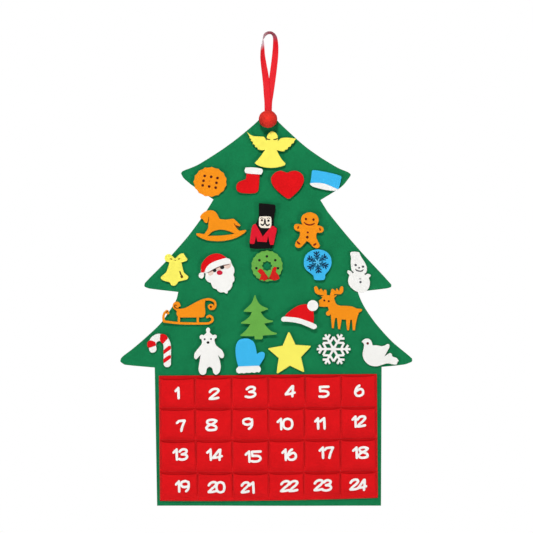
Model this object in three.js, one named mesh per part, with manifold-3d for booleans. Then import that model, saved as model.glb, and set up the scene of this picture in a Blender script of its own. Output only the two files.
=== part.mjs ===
// A felt Christmas-tree advent calendar that hangs on a wall: a green felt tree, a red
// field of sewn pockets with white felt numbers, and felt ornaments that grip the tree by
// hook pads. Millimetres, +Z up, the front faces -Y. The origin is the inside top of the
// ribbon loop, where a wall hook carries the calendar.

import * as THREE from 'three';
import * as BufferGeometryUtils from 'three/addons/utils/BufferGeometryUtils.js';
import Module from 'manifold-3d';

const wasm = await Module();
wasm.setup();

// Driving dimensions: the tree
const treeWidth = 700;
const treeHeight = 950;
const treeMiddleX = -7;
const hangDrop = 182;
const wallY = 9;
const backingThickness = 3;
const seatGap = 0.3;

// Driving dimensions: the pocket field
const pocketPitch = 87;
const pocketsPerRow = 6;
const rowCount = 4;
const stripHeight = 73;
const rowGap = 4;
const rowPitch = stripHeight + rowGap;
const lastStripHeight = 61;
const groundThickness = 2;
const groundTopMargin = 7;
const groundBottomMargin = 1;
const stripThickness = 2;
const pocketDepth = 10;
const mouthSag = 2;
const fieldTurn = THREE.MathUtils.degToRad(0.5);
const fieldTopShares = [0.505, 0.33];

// Driving dimensions: the numbers
const numberHeight = 31;
const numberStroke = 5.6;
const numberThickness = 1.2;

// Driving dimensions: the ornaments
const ornamentThickness = 3;
const layerThickness = 1.5;
const padRadius = 8;
const padThickness = 2;

// Driving dimensions: the ribbon and the ball
const ribbonWidth = 16;
const ribbonThickness = 0.6;
const loopWidth = 34;
const hingeRise = 1;
const tailLength = 44;
const tailMiddleX = -1.6;
const ballDiameter = 44.5;
const ballDrop = 206;
const ballMiddleX = -3.1;
const ballSeatShare = 0.9;

// Modelling steps
const splineSteps = 4;
const outlineTolerance = 0.45;
const overrun = 0.5;
const weldDistance = 0.0001;
const roundCapSteps = 3;
const flatCapSteps = 1;
const padSides = 12;

// Planes along Y, from the wall forwards
const backingFrontY = wallY - backingThickness;
const groundRearY = backingFrontY - seatGap;
const groundFrontY = groundRearY - groundThickness;
const stripRearY = groundFrontY - seatGap;
const padRearY = backingFrontY - seatGap;
const feltRearY = padRearY - padThickness;
const raisedStep = ornamentThickness + seatGap;
const tailRearY = backingFrontY - seatGap;
const tailThickness = 2 * ribbonThickness + seatGap;
const tailFrontY = tailRearY - tailThickness;
const hingeZ = hingeRise - hangDrop;

// Felt and ribbon colours
const green = new THREE.Color('#1c7d4e');
const red = new THREE.Color('#dd181c');
const white = new THREE.Color('#f5f5f5');
const yellow = new THREE.Color('#faf05a');
const orange = new THREE.Color('#ff9b14');
const blue = new THREE.Color('#46b4f5');
const leaf = new THREE.Color('#5aa546');
const black = new THREE.Color('#141010');
const ballRed = new THREE.Color('#e1322a');
const satinRed = new THREE.Color('#eb1e32');
const feltRoughness = 0.95;
const satinRoughness = 0.4;

const group = new THREE.Group();

function addPiece(name, geometry, color, roughness, position, parent) {
  const material = new THREE.MeshStandardMaterial({ color, roughness, metalness: 0 });
  const mesh = new THREE.Mesh(geometry, material);
  mesh.name = name;
  mesh.position.copy(position);
  parent.add(mesh);
  return mesh;
}

// Drops the points that lie within the tolerance of the chord across them
function thinned(points) {
  const first = points[0];
  const last = points[points.length - 1];
  const chord = last.clone().sub(first);
  const length = Math.max(chord.length(), weldDistance);
  let farthest = 0;
  let index = 0;
  for (let i = 1; i < points.length - 1; i += 1) {
    const offset = points[i].clone().sub(first);
    const distance = Math.abs(chord.cross(offset)) / length;
    if (distance > farthest) {
      farthest = distance;
      index = i;
    }
  }
  if (farthest <= outlineTolerance) return [first, last];
  const head = thinned(points.slice(0, index + 1));
  const tail = thinned(points.slice(index));
  return [...head.slice(0, -1), ...tail];
}

// A smooth stretch through its points
function smoothStretch(points) {
  const curve = new THREE.SplineCurve(points);
  return thinned(curve.getPoints((points.length - 1) * splineSteps));
}

// A closed outline in a box: each run is smooth, and a corner lies between two runs
function outlineShape(runShares, width, height) {
  const place = ([across, up]) => new THREE.Vector2((across - 0.5) * width, (up - 0.5) * height);
  const lastRun = runShares[runShares.length - 1];
  let start = place(lastRun[lastRun.length - 1]);
  const points = [];
  for (const run of runShares) {
    const stretch = smoothStretch([start, ...run.map(place)]);
    points.push(...stretch.slice(1));
    start = stretch[stretch.length - 1];
  }
  if (THREE.ShapeUtils.isClockWise(points)) points.reverse();
  return new THREE.Shape(points);
}

// A band of one width along a smooth line, with round ends
function strokeShape(points, width, capSteps) {
  const line = smoothStretch(points);
  const half = width / 2;
  const normals = line.map((point, i) => {
    const before = line[Math.max(i - 1, 0)];
    const after = line[Math.min(i + 1, line.length - 1)];
    const inward = point.clone().sub(before).normalize();
    const outward = after.clone().sub(point).normalize();
    const along = inward.add(outward).normalize();
    return new THREE.Vector2(-along.y, along.x);
  });
  const left = line.map((point, i) => point.clone().addScaledVector(normals[i], half));
  const right = line.map((point, i) => point.clone().addScaledVector(normals[i], -half));
  const cap = (centre, normal) => {
    const arc = [];
    for (let step = 1; step < capSteps; step += 1) {
      const turned = normal.clone().rotateAround(new THREE.Vector2(), -Math.PI * step / capSteps);
      arc.push(centre.clone().addScaledVector(turned, half));
    }
    return arc;
  };
  const end = line.length - 1;
  const endCap = cap(line[end], normals[end]);
  const startCap = cap(line[0], normals[0].clone().negate());
  return new THREE.Shape([...left, ...endCap, ...right.reverse(), ...startCap]);
}

// A flat plate of felt: the shape stands upright and its rear face lies at rearY
function plate(shape, rearY, thickness) {
  const settings = { depth: thickness, bevelEnabled: false, curveSegments: 1 };
  const geometry = new THREE.ExtrudeGeometry(shape, settings);
  geometry.rotateX(Math.PI / 2);
  geometry.translate(0, rearY, 0);
  return geometry;
}

function toSolid(geometry) {
  const bare = geometry.clone();
  bare.deleteAttribute('normal');
  bare.deleteAttribute('uv');
  const merged = BufferGeometryUtils.mergeVertices(bare, weldDistance);
  const vertProperties = new Float32Array(merged.attributes.position.array);
  const triVerts = new Uint32Array(merged.index.array);
  return new wasm.Manifold(new wasm.Mesh({ numProp: 3, vertProperties, triVerts }));
}

function fromSolid(solid) {
  const mesh = solid.getMesh();
  const geometry = new THREE.BufferGeometry();
  geometry.setAttribute('position', new THREE.BufferAttribute(mesh.vertProperties, 3));
  geometry.setIndex(new THREE.BufferAttribute(mesh.triVerts, 1));
  const faceted = geometry.toNonIndexed();
  faceted.computeVertexNormals();
  return faceted;
}

function joined(geometries) {
  return fromSolid(geometries.map(toSolid).reduce((whole, piece) => whole.add(piece)));
}

// A point of the tree's own box, in the calendar's frame
function treePoint([across, up], y) {
  return new THREE.Vector3(
    treeMiddleX + (across - 0.5) * treeWidth,
    y,
    (up - 1) * treeHeight - hangDrop,
  );
}

// The tree: three tiers of boughs over a straight-sided panel
const treeShares = [
  [[0.43, 0.945], [0.392, 0.9225], [0.35, 0.9], [0.304, 0.878], [0.262, 0.8595], [0.214, 0.845]],
  [[0.2085, 0.839], [0.216, 0.829]],
  [[0.248, 0.809], [0.32, 0.774]],
  [[0.3, 0.75], [0.267, 0.7145], [0.224, 0.673], [0.178, 0.635], [0.149, 0.611], [0.109, 0.5805],
    [0.085, 0.563]],
  [[0.083, 0.554], [0.101, 0.549]],
  [[0.199, 0.5405]],
  [[0.19, 0.517], [0.164, 0.4865], [0.138, 0.46], [0.096, 0.43], [0.05, 0.4005], [0.005, 0.3745]],
  [[0, 0.3645], [0.015, 0.3565]],
  [[0.116, 0.3495]],
  [[0.118, 0.342], [0.126, 0]],
  [[0.8925, 0]],
  [[0.8945, 0.342]],
  [[0.8945, 0.351]],
  [[0.972, 0.357]],
  [[0.998, 0.364], [0.998, 0.372]],
  [[0.94, 0.4075], [0.891, 0.445], [0.852, 0.4825], [0.827, 0.513], [0.812, 0.541]],
  [[0.912, 0.5495]],
  [[0.9265, 0.5525], [0.927, 0.559]],
  [[0.87, 0.604], [0.82, 0.6445], [0.77, 0.687], [0.714, 0.738], [0.684, 0.7725]],
  [[0.73, 0.793], [0.761, 0.809], [0.783, 0.829]],
  [[0.7885, 0.8365], [0.779, 0.8425]],
  [[0.744, 0.8535], [0.695, 0.875], [0.662, 0.8915], [0.634, 0.9065], [0.598, 0.9295], [0.542, 0.9685]],
  [[0.513, 0.994], [0.498, 0.994], [0.469, 0.97]],
];
const backing = plate(outlineShape(treeShares, treeWidth, treeHeight), wallY, backingThickness);
addPiece('tree_backing', backing, green, feltRoughness, treePoint([0.5, 0.5], 0), group);

// The pocket field hangs in its own group, turned a little as it is sewn on
const fieldWidth = pocketPitch * pocketsPerRow;
const lastMouthDrop = groundTopMargin + rowPitch * (rowCount - 1);
const fieldHeight = lastMouthDrop + lastStripHeight + groundBottomMargin;
const field = new THREE.Group();
field.position.copy(treePoint(fieldTopShares, 0));
field.rotation.y = -fieldTurn;
group.add(field);

const groundShape = new THREE.Shape([
  new THREE.Vector2(-fieldWidth / 2, -fieldHeight),
  new THREE.Vector2(fieldWidth / 2, -fieldHeight),
  new THREE.Vector2(fieldWidth / 2, 0),
  new THREE.Vector2(-fieldWidth / 2, 0),
]);
const ground = plate(groundShape, groundRearY, groundThickness);
addPiece('pocket_ground', ground, red, feltRoughness, new THREE.Vector3(), field);

// How far the felt of a pocket stands off the ground, across a pocket and up it
const acrossShares = [0, 0.03, 0.08, 0.15, 0.85, 0.92, 0.97];
const bulgeAcrossShares = [0, 0, 0.65, 1, 1, 0.65, 0];
const upShares = [0, 0.04, 0.14, 0.3, 1];
const bulgeUpShares = [0, 0, 0.45, 0.75, 1];

// A row of pockets: one felt strip sewn down at its foot, its ends and between pockets
function pocketStrip(height) {
  const columns = pocketsPerRow * acrossShares.length;
  const positions = [];
  const indices = [];
  const stations = upShares.length;
  for (const layerY of [stripRearY, stripRearY - stripThickness]) {
    for (let column = 0; column <= columns; column += 1) {
      const pocket = Math.floor(column / acrossShares.length);
      const place = column % acrossShares.length;
      const x = (pocket + acrossShares[place]) * pocketPitch - fieldWidth / 2;
      for (let row = 0; row < stations; row += 1) {
        const bulge = bulgeAcrossShares[place] * bulgeUpShares[row];
        const sag = mouthSag * bulgeAcrossShares[place] * upShares[row];
        positions.push(x, layerY - pocketDepth * bulge, height * (upShares[row] - 1) - sag);
      }
    }
  }
  const front = (columns + 1) * stations;
  const quad = (a, b, c, d) => indices.push(a, b, c, a, c, d);
  for (let column = 0; column < columns; column += 1) {
    for (let row = 0; row < stations - 1; row += 1) {
      const corner = column * stations + row;
      const across = corner + stations;
      quad(corner, corner + 1, across + 1, across);
      quad(front + corner, front + across, front + across + 1, front + corner + 1);
    }
    const foot = column * stations;
    const mouth = foot + stations - 1;
    quad(foot, foot + stations, front + foot + stations, front + foot);
    quad(mouth, front + mouth, front + mouth + stations, mouth + stations);
  }
  const end = columns * stations;
  for (let row = 0; row < stations - 1; row += 1) {
    quad(row, front + row, front + row + 1, row + 1);
    quad(end + row, end + row + 1, front + end + row + 1, front + end + row);
  }
  const geometry = new THREE.BufferGeometry();
  geometry.setAttribute('position', new THREE.Float32BufferAttribute(positions, 3));
  geometry.setIndex(indices);
  geometry.computeVertexNormals();
  return geometry;
}

function stripHeightOf(row) {
  return row === rowCount - 1 ? lastStripHeight : stripHeight;
}

for (let row = 0; row < rowCount; row += 1) {
  const mouth = new THREE.Vector3(0, 0, -groundTopMargin - row * rowPitch);
  addPiece(`pocket_strip_${row + 1}`, pocketStrip(stripHeightOf(row)), red, feltRoughness, mouth, field);
}

// The strokes of each digit, in shares of the digit's own box
const digitShares = {
  0: [
    [[0.5, 0.9], [0.22, 0.8], [0.12, 0.5], [0.22, 0.2], [0.5, 0.1]],
    [[0.5, 0.1], [0.78, 0.2], [0.88, 0.5], [0.78, 0.8], [0.5, 0.9]],
  ],
  1: [
    [[0.62, 0.1], [0.58, 0.9]],
    [[0.55, 0.88], [0.15, 0.66]],
  ],
  2: [
    [[0.14, 0.66], [0.3, 0.82], [0.52, 0.9], [0.76, 0.89], [0.86, 0.76], [0.7, 0.58], [0.4, 0.37],
      [0.12, 0.13]],
    [[0.12, 0.13], [0.46, 0.14], [0.84, 0.21]],
  ],
  3: [
    [[0.2, 0.72], [0.38, 0.86], [0.62, 0.9], [0.83, 0.82], [0.8, 0.66], [0.62, 0.56], [0.4, 0.51]],
    [[0.4, 0.51], [0.66, 0.5], [0.85, 0.41], [0.86, 0.27], [0.7, 0.15], [0.42, 0.1], [0.12, 0.15]],
  ],
  4: [
    [[0.68, 0.88], [0.13, 0.25]],
    [[0.13, 0.25], [0.5, 0.29], [0.87, 0.38]],
    [[0.74, 0.88], [0.68, 0.1]],
  ],
  5: [
    [[0.17, 0.87], [0.5, 0.88], [0.87, 0.89]],
    [[0.17, 0.87], [0.19, 0.55]],
    [[0.19, 0.55], [0.5, 0.56], [0.78, 0.49], [0.86, 0.32], [0.7, 0.16], [0.42, 0.11], [0.12, 0.14]],
  ],
  6: [
    [[0.52, 0.9], [0.3, 0.76], [0.16, 0.52], [0.14, 0.3], [0.28, 0.13], [0.52, 0.1]],
    [[0.52, 0.1], [0.8, 0.22], [0.86, 0.44], [0.72, 0.62], [0.48, 0.61], [0.26, 0.47]],
  ],
  7: [
    [[0.12, 0.72], [0.3, 0.85], [0.56, 0.89], [0.86, 0.9]],
    [[0.86, 0.9], [0.68, 0.56], [0.58, 0.32], [0.52, 0.1]],
  ],
  8: [
    [[0.88, 0.82], [0.66, 0.9], [0.42, 0.9], [0.22, 0.83], [0.17, 0.72], [0.26, 0.6], [0.46, 0.53]],
    [[0.46, 0.53], [0.74, 0.44], [0.86, 0.3], [0.78, 0.15], [0.5, 0.1]],
    [[0.5, 0.1], [0.27, 0.12], [0.13, 0.21], [0.13, 0.33], [0.26, 0.44], [0.46, 0.53],
      [0.7, 0.66], [0.88, 0.82]],
  ],
  9: [
    [[0.84, 0.78], [0.66, 0.89], [0.4, 0.89], [0.18, 0.8], [0.14, 0.62], [0.28, 0.48],
      [0.54, 0.45], [0.8, 0.52]],
    [[0.84, 0.84], [0.86, 0.5], [0.78, 0.26], [0.6, 0.12]],
  ],
};

// Where the two digits of a number lie in its box, by its leading digit
const leadingEndShares = { 1: 0.44, 2: 0.58 };
const trailingStartShares = { 1: 0.3, 2: 0.43 };

function digitStrokes(digit, startShare, endShare, width) {
  return digitShares[digit].map((stroke) => {
    const points = stroke.map(([across, up]) => {
      const share = startShare + across * (endShare - startShare);
      return new THREE.Vector2((share - 0.5) * width, (up - 0.5) * numberHeight);
    });
    return strokeShape(points, numberStroke, roundCapSteps);
  });
}

function numberGeometry(number, width) {
  const digits = String(number);
  const leading = digits[0];
  const shapes = digits.length === 1
    ? digitStrokes(leading, 0, 1, width)
    : [
      ...digitStrokes(leading, 0, leadingEndShares[leading], width),
      ...digitStrokes(digits[1], trailingStartShares[leading], 1, width),
    ];
  return joined(shapes.map((shape) => plate(shape, -seatGap, numberThickness)));
}

// Width of each number, as a share of its height
const numberWidthShares = [
  0.484, 0.935, 0.968, 0.935, 0.935, 0.839,
  0.806, 1.032, 0.935, 1.323, 1.065, 1.161,
  1.226, 1.323, 1.355, 1.226, 1.226, 1.323,
  1.161, 1.419, 1.29, 1.484, 1.484, 1.419,
];

// Middle of each number: across its pocket, and down from the mouth
const numberPlaceShares = [
  [0.52, 0.46], [0.52, 0.5], [0.52, 0.445], [0.61, 0.425], [0.54, 0.455], [0.51, 0.435],
  [0.6, 0.475], [0.44, 0.46], [0.435, 0.435], [0.465, 0.445], [0.46, 0.44], [0.5, 0.39],
  [0.58, 0.36], [0.52, 0.38], [0.585, 0.45], [0.575, 0.4], [0.6, 0.345], [0.535, 0.35],
  [0.63, 0.355], [0.56, 0.395], [0.45, 0.41], [0.565, 0.385], [0.485, 0.36], [0.46, 0.35],
];

// The flat front of a pocket leans out towards its mouth
const bellyShare = upShares[upShares.length - 2];
const bellyBulgeShare = bulgeUpShares[bulgeUpShares.length - 2];

numberWidthShares.forEach((widthShare, index) => {
  const row = Math.floor(index / pocketsPerRow);
  const column = index % pocketsPerRow;
  const [acrossShare, dropShare] = numberPlaceShares[index];
  const height = stripHeightOf(row);
  const drop = dropShare * stripHeight;
  const slope = pocketDepth * (1 - bellyBulgeShare) / ((height - mouthSag) * (1 - bellyShare));
  const belowLip = drop - mouthSag;
  const frontY = stripRearY - stripThickness - pocketDepth + slope * belowLip;
  const holder = new THREE.Group();
  holder.position.set(
    (column + acrossShare) * pocketPitch - fieldWidth / 2,
    frontY,
    -groundTopMargin - row * rowPitch - drop,
  );
  holder.rotation.x = Math.atan(slope);
  field.add(holder);
  const name = `number_${String(index + 1).padStart(2, '0')}`;
  const number = numberGeometry(index + 1, widthShare * numberHeight);
  addPiece(name, number, white, feltRoughness, new THREE.Vector3(), holder);
});

// The ornaments that are one cut outline each, in their own boxes on the tree
const cutOrnaments = [
  {
    name: 'angel_ornament', color: yellow, sizeShares: [0.1686, 0.0947], raised: true,
    middleShares: [0.5175, 0.9], padShares: [0.49, 0.36],
    runShares: [
      [[0.07, 0.885], [0.154, 0.845], [0.293, 0.84], [0.349, 0.827], [0.38, 0.766]],
      [[0.398, 0.71]],
      [[0.405, 0.8], [0.432, 0.905], [0.515, 0.975], [0.603, 0.91], [0.63, 0.8]],
      [[0.625, 0.7]],
      [[0.654, 0.75], [0.7, 0.793], [0.8, 0.81], [0.904, 0.797], [1, 0.78]],
      [[0.965, 0.72], [0.95, 0.665]],
      [[0.905, 0.64], [0.888, 0.575]],
      [[0.84, 0.555], [0.825, 0.497]],
      [[0.778, 0.487], [0.762, 0.45]],
      [[0.7, 0.447], [0.603, 0.485]],
      [[0.626, 0.415], [0.7, 0.245], [0.785, 0.12]],
      [[0.76, 0.07], [0.64, 0.025], [0.5, 0.005], [0.34, 0.025], [0.21, 0.08], [0.16, 0.135]],
      [[0.21, 0.2], [0.3, 0.35], [0.372, 0.488]],
      [[0.3, 0.475], [0.228, 0.495]],
      [[0.21, 0.55], [0.168, 0.56]],
      [[0.16, 0.62], [0.122, 0.64]],
      [[0.122, 0.7], [0.086, 0.72]],
      [[0.088, 0.775], [0.055, 0.795]],
      [[0.05, 0.85], [0, 0.965]],
    ],
  },
  {
    name: 'heart_ornament', color: red, sizeShares: [0.1129, 0.0705], raised: false,
    middleShares: [0.5715, 0.8105], padShares: [0.5, 0.58],
    runShares: [
      [[0.42, 0.965], [0.29, 1], [0.13, 0.93], [0.02, 0.76], [0.03, 0.57], [0.14, 0.36],
        [0.32, 0.16], [0.49, 0.02]],
      [[0.54, 0], [0.6, 0.03]],
      [[0.77, 0.2], [0.92, 0.41], [1, 0.63], [0.97, 0.84], [0.84, 0.97], [0.7, 1], [0.58, 0.97],
        [0.505, 0.93]],
    ],
  },
  {
    name: 'cap_ornament', color: blue, sizeShares: [0.11, 0.0537], raised: false,
    middleShares: [0.7034, 0.8206], padShares: [0.5, 0.55],
    runShares: [
      [[0.09, 0.985], [0.12, 1]],
      [[0.32, 0.965], [0.58, 0.89], [0.8, 0.81], [0.94, 0.74]],
      [[0.985, 0.69], [0.985, 0.62]],
      [[0.9, 0.12]],
      [[0.85, 0.045], [0.71, 0.03], [0.525, 0.063], [0.383, 0.105], [0.24, 0.16], [0.1, 0.225],
        [0.01, 0.32]],
      [[0.045, 0.62], [0.07, 0.95]],
    ],
  },
  {
    name: 'nutcracker_ornament', color: black, sizeShares: [0.0957, 0.1211], raised: true,
    middleShares: [0.4885, 0.7075], padShares: [0.5, 0.36],
    runShares: [
      [[0.4, 0.965], [0.9, 0.935]],
      [[0.945, 0.915], [0.94, 0.85], [0.89, 0.67]],
      [[0.875, 0.5]],
      [[1, 0.45]],
      [[1.01, 0.41], [0.94, 0.25], [0.88, 0.12]],
      [[0.85, 0.06], [0.82, 0.025]],
      [[0.3, 0.015], [0.05, 0.03], [0.02, 0.08]],
      [[0.02, 0.15]],
      [[0.05, 0.29], [0.09, 0.43], [0.13, 0.5], [0.24, 0.54]],
      [[0.33, 0.65]],
      [[0.35, 0.72], [0.35, 0.93]],
      [[0.36, 0.96]],
    ],
  },
  {
    name: 'gingerbread_ornament', color: orange, sizeShares: [0.1057, 0.1032], raised: true,
    middleShares: [0.6445, 0.695], padShares: [0.48, 0.42],
    runShares: [
      [[0.255, 0.76], [0.32, 0.88], [0.53, 0.945], [0.74, 0.89], [0.825, 0.76], [0.78, 0.63]],
      [[0.88, 0.61], [0.97, 0.57], [0.98, 0.49], [0.9, 0.445], [0.79, 0.455]],
      [[0.75, 0.4], [0.76, 0.3], [0.83, 0.2], [0.86, 0.13], [0.82, 0.075], [0.73, 0.07],
        [0.62, 0.12], [0.54, 0.2]],
      [[0.44, 0.245]],
      [[0.34, 0.165], [0.25, 0.09], [0.15, 0.08], [0.07, 0.12], [0.08, 0.21], [0.17, 0.3],
        [0.225, 0.4], [0.21, 0.475]],
      [[0.1, 0.5], [0.03, 0.56], [0.05, 0.64], [0.15, 0.66], [0.3, 0.64]],
    ],
  },
  {
    name: 'bell_ornament', color: yellow, sizeShares: [0.1, 0.0863], raised: false,
    middleShares: [0.1885, 0.598], padShares: [0.47, 0.42],
    runShares: [
      [[0.4, 0.87], [0.3, 0.935], [0.18, 0.91], [0.13, 0.82], [0.17, 0.73], [0.29, 0.69]],
      [[0.25, 0.55], [0.19, 0.42], [0.09, 0.33], [0.01, 0.27]],
      [[0.01, 0.21], [0.14, 0.145], [0.3, 0.11]],
      [[0.36, 0.03], [0.46, 0.01], [0.55, 0.06], [0.6, 0.13]],
      [[0.78, 0.165], [0.9, 0.2], [0.94, 0.27], [0.87, 0.34], [0.79, 0.4], [0.74, 0.53], [0.7, 0.69]],
      [[0.87, 0.735], [0.915, 0.79]],
      [[0.83, 0.88], [0.78, 0.96]],
      [[0.66, 0.94], [0.57, 0.86], [0.49, 0.8]],
    ],
  },
  {
    name: 'santa_ornament', color: white, sizeShares: [0.1343, 0.1084], raised: false,
    middleShares: [0.3325, 0.5864], padShares: [0.56, 0.4],
    runShares: [
      [[0.09, 0.66], [0.14, 0.78], [0.24, 0.88], [0.38, 0.95], [0.52, 0.96], [0.65, 0.92], [0.74, 0.86]],
      [[0.82, 0.83], [0.85, 0.76], [0.87, 0.71], [0.92, 0.63], [0.93, 0.54], [0.905, 0.47]],
      [[0.93, 0.4], [0.925, 0.33], [0.885, 0.28]],
      [[0.87, 0.2], [0.82, 0.13], [0.77, 0.1]],
      [[0.76, 0.05], [0.72, 0.035], [0.67, 0.065]],
      [[0.59, 0.06], [0.52, 0.085], [0.48, 0.13]],
      [[0.4, 0.16], [0.36, 0.21], [0.33, 0.28]],
      [[0.24, 0.32], [0.19, 0.4], [0.2, 0.5]],
      [[0.15, 0.53]],
      [[0.158, 0.46], [0.13, 0.4], [0.09, 0.385], [0.04, 0.41], [0.02, 0.455], [0.04, 0.505], [0.075, 0.52]],
    ],
  },
  {
    name: 'bauble_ornament', color: blue, sizeShares: [0.1057, 0.0937], raised: false,
    middleShares: [0.6753, 0.6066], padShares: [0.5, 0.6],
    runShares: [
      [[0.86, 0.36], [0.95, 0.54], [0.92, 0.74], [0.77, 0.88], [0.54, 0.935], [0.3, 0.9], [0.12, 0.78],
        [0.055, 0.6], [0.11, 0.41], [0.36, 0.235]],
      [[0.375, 0.17], [0.42, 0.115], [0.56, 0.105], [0.69, 0.115], [0.74, 0.16], [0.755, 0.26]],
    ],
  },
  {
    name: 'snowman_ornament', color: white, sizeShares: [0.0957, 0.1063], raised: false,
    middleShares: [0.821, 0.5927], padShares: [0.5, 0.24],
    runShares: [
      [[0.17, 0.95], [0.3, 0.96], [0.46, 0.95]],
      [[0.53, 0.85], [0.68, 0.69], [0.745, 0.57], [0.73, 0.49], [0.68, 0.43]],
      [[0.78, 0.435], [0.86, 0.42], [0.87, 0.375], [0.81, 0.34]],
      [[0.85, 0.24], [0.82, 0.11], [0.7, 0.015], [0.5, -0.01], [0.28, 0.05], [0.11, 0.17],
        [0.075, 0.3], [0.12, 0.41]],
      [[0.05, 0.455], [0.06, 0.51], [0.13, 0.51], [0.235, 0.475]],
      [[0.19, 0.54], [0.18, 0.63], [0.165, 0.72], [0.18, 0.8], [0.15, 0.9]],
    ],
  },
  {
    name: 'fir_ornament', color: leaf, sizeShares: [0.1171, 0.1158], raised: true,
    middleShares: [0.4748, 0.4765], padShares: [0.43, 0.36],
    runShares: [
      [[0.33, 0.9], [0.3, 0.83], [0.23, 0.76], [0.13, 0.69], [0.06, 0.645]],
      [[0.06, 0.62], [0.15, 0.615]],
      [[0.29, 0.61]],
      [[0.24, 0.53], [0.16, 0.47], [0.07, 0.42], [-0.02, 0.385]],
      [[-0.02, 0.36], [0.08, 0.355]],
      [[0.25, 0.35]],
      [[0.17, 0.26], [0.07, 0.18], [-0.04, 0.11]],
      [[-0.03, 0.09], [0.1, 0.085]],
      [[0.37, 0.085]],
      [[0.37, 0.035], [0.39, 0.017]],
      [[0.58, 0.017]],
      [[0.61, 0.04], [0.61, 0.1]],
      [[0.9, 0.115]],
      [[1.01, 0.13], [1.02, 0.155]],
      [[0.93, 0.17], [0.8, 0.225], [0.65, 0.36]],
      [[0.84, 0.385]],
      [[0.91, 0.4], [0.9, 0.425]],
      [[0.78, 0.44], [0.64, 0.51], [0.55, 0.615]],
      [[0.68, 0.65]],
      [[0.76, 0.67], [0.74, 0.695]],
      [[0.62, 0.73], [0.5, 0.8], [0.43, 0.89], [0.4, 0.965]],
      [[0.385, 0.98], [0.365, 0.965]],
    ],
  },
  {
    name: 'reindeer_ornament', color: orange, sizeShares: [0.1857, 0.1242], raised: false,
    middleShares: [0.7422, 0.498], padShares: [0.62, 0.42],
    runShares: [
      [[0.172, 0.59], [0.166, 0.545]],
      [[0.25, 0.535], [0.33, 0.54]],
      [[0.35, 0.47]],
      [[0.3, 0.42], [0.31, 0.365], [0.36, 0.36], [0.385, 0.39]],
      [[0.395, 0.25], [0.405, 0.105]],
      [[0.44, 0.1]],
      [[0.455, 0.25], [0.47, 0.31]],
      [[0.5, 0.31]],
      [[0.52, 0.085]],
      [[0.555, 0.08]],
      [[0.57, 0.2], [0.585, 0.28]],
      [[0.665, 0.275]],
      [[0.685, 0.06]],
      [[0.72, 0.06]],
      [[0.745, 0.27]],
      [[0.775, 0.27]],
      [[0.79, 0.06]],
      [[0.83, 0.06]],
      [[0.85, 0.21], [0.9, 0.41]],
      [[0.96, 0.46], [0.94, 0.495], [0.87, 0.5]],
      [[0.78, 0.54], [0.66, 0.555], [0.53, 0.565], [0.47, 0.62], [0.445, 0.72]],
      [[0.5, 0.775]],
      [[0.43, 0.765]],
      [[0.47, 0.795], [0.57, 0.795], [0.615, 0.86], [0.61, 0.94]],
      [[0.58, 0.955], [0.555, 0.92], [0.535, 0.85]],
      [[0.51, 0.9], [0.48, 0.9], [0.475, 0.85]],
      [[0.44, 0.89], [0.4, 0.89], [0.37, 0.77]],
      [[0.31, 0.77]],
      [[0.3, 0.87], [0.26, 0.88], [0.245, 0.84]],
      [[0.215, 0.9], [0.18, 0.89], [0.17, 0.85]],
      [[0.14, 0.93], [0.11, 0.955], [0.075, 0.93]],
      [[0.09, 0.84], [0.14, 0.79], [0.2, 0.78], [0.27, 0.765]],
      [[0.2, 0.75]],
      [[0.23, 0.715], [0.166, 0.66]],
    ],
  },
  {
    name: 'polar_bear_ornament', color: white, sizeShares: [0.12, 0.1284], raised: true,
    middleShares: [0.3051, 0.3919], padShares: [0.5, 0.38],
    runShares: [
      [[0.415, 0.93], [0.405, 0.89], [0.42, 0.86]],
      [[0.385, 0.83], [0.335, 0.8]],
      [[0.28, 0.815], [0.225, 0.785], [0.235, 0.735], [0.28, 0.72]],
      [[0.285, 0.66], [0.25, 0.6], [0.16, 0.53], [0.08, 0.45], [0.065, 0.37], [0.11, 0.33],
        [0.17, 0.36], [0.25, 0.42]],
      [[0.215, 0.29], [0.19, 0.13], [0.24, 0.045], [0.32, 0.025], [0.4, 0.06], [0.43, 0.15]],
      [[0.505, 0.185], [0.58, 0.15]],
      [[0.61, 0.07], [0.68, 0.03], [0.78, 0.07], [0.82, 0.17], [0.8, 0.29], [0.735, 0.42]],
      [[0.83, 0.355], [0.9, 0.37], [0.91, 0.43], [0.84, 0.52], [0.71, 0.59], [0.655, 0.66], [0.65, 0.73]],
      [[0.7, 0.755], [0.7, 0.8], [0.64, 0.815], [0.6, 0.8]],
      [[0.55, 0.83], [0.51, 0.86]],
      [[0.52, 0.91], [0.5, 0.945], [0.455, 0.955]],
    ],
  },
  {
    name: 'star_ornament', color: yellow, sizeShares: [0.1457, 0.1042], raised: false,
    middleShares: [0.5794, 0.3866], padShares: [0.5, 0.42],
    runShares: [
      [[0.34, 0.67]],
      [[0.01, 0.61]],
      [[0, 0.59], [0.01, 0.58]],
      [[0.245, 0.37]],
      [[0.2, 0.03]],
      [[0.21, 0], [0.24, 0.01]],
      [[0.51, 0.185]],
      [[0.81, 0.04]],
      [[0.84, 0.04], [0.84, 0.07]],
      [[0.77, 0.395]],
      [[0.99, 0.64]],
      [[0.995, 0.665], [0.97, 0.67]],
      [[0.64, 0.69]],
      [[0.505, 0.98]],
      [[0.48, 1], [0.465, 0.98]],
    ],
  },
  {
    name: 'dove_ornament', color: white, sizeShares: [0.1371, 0.0779], raised: false,
    middleShares: [0.8896, 0.3868], padShares: [0.35, 0.4],
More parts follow.
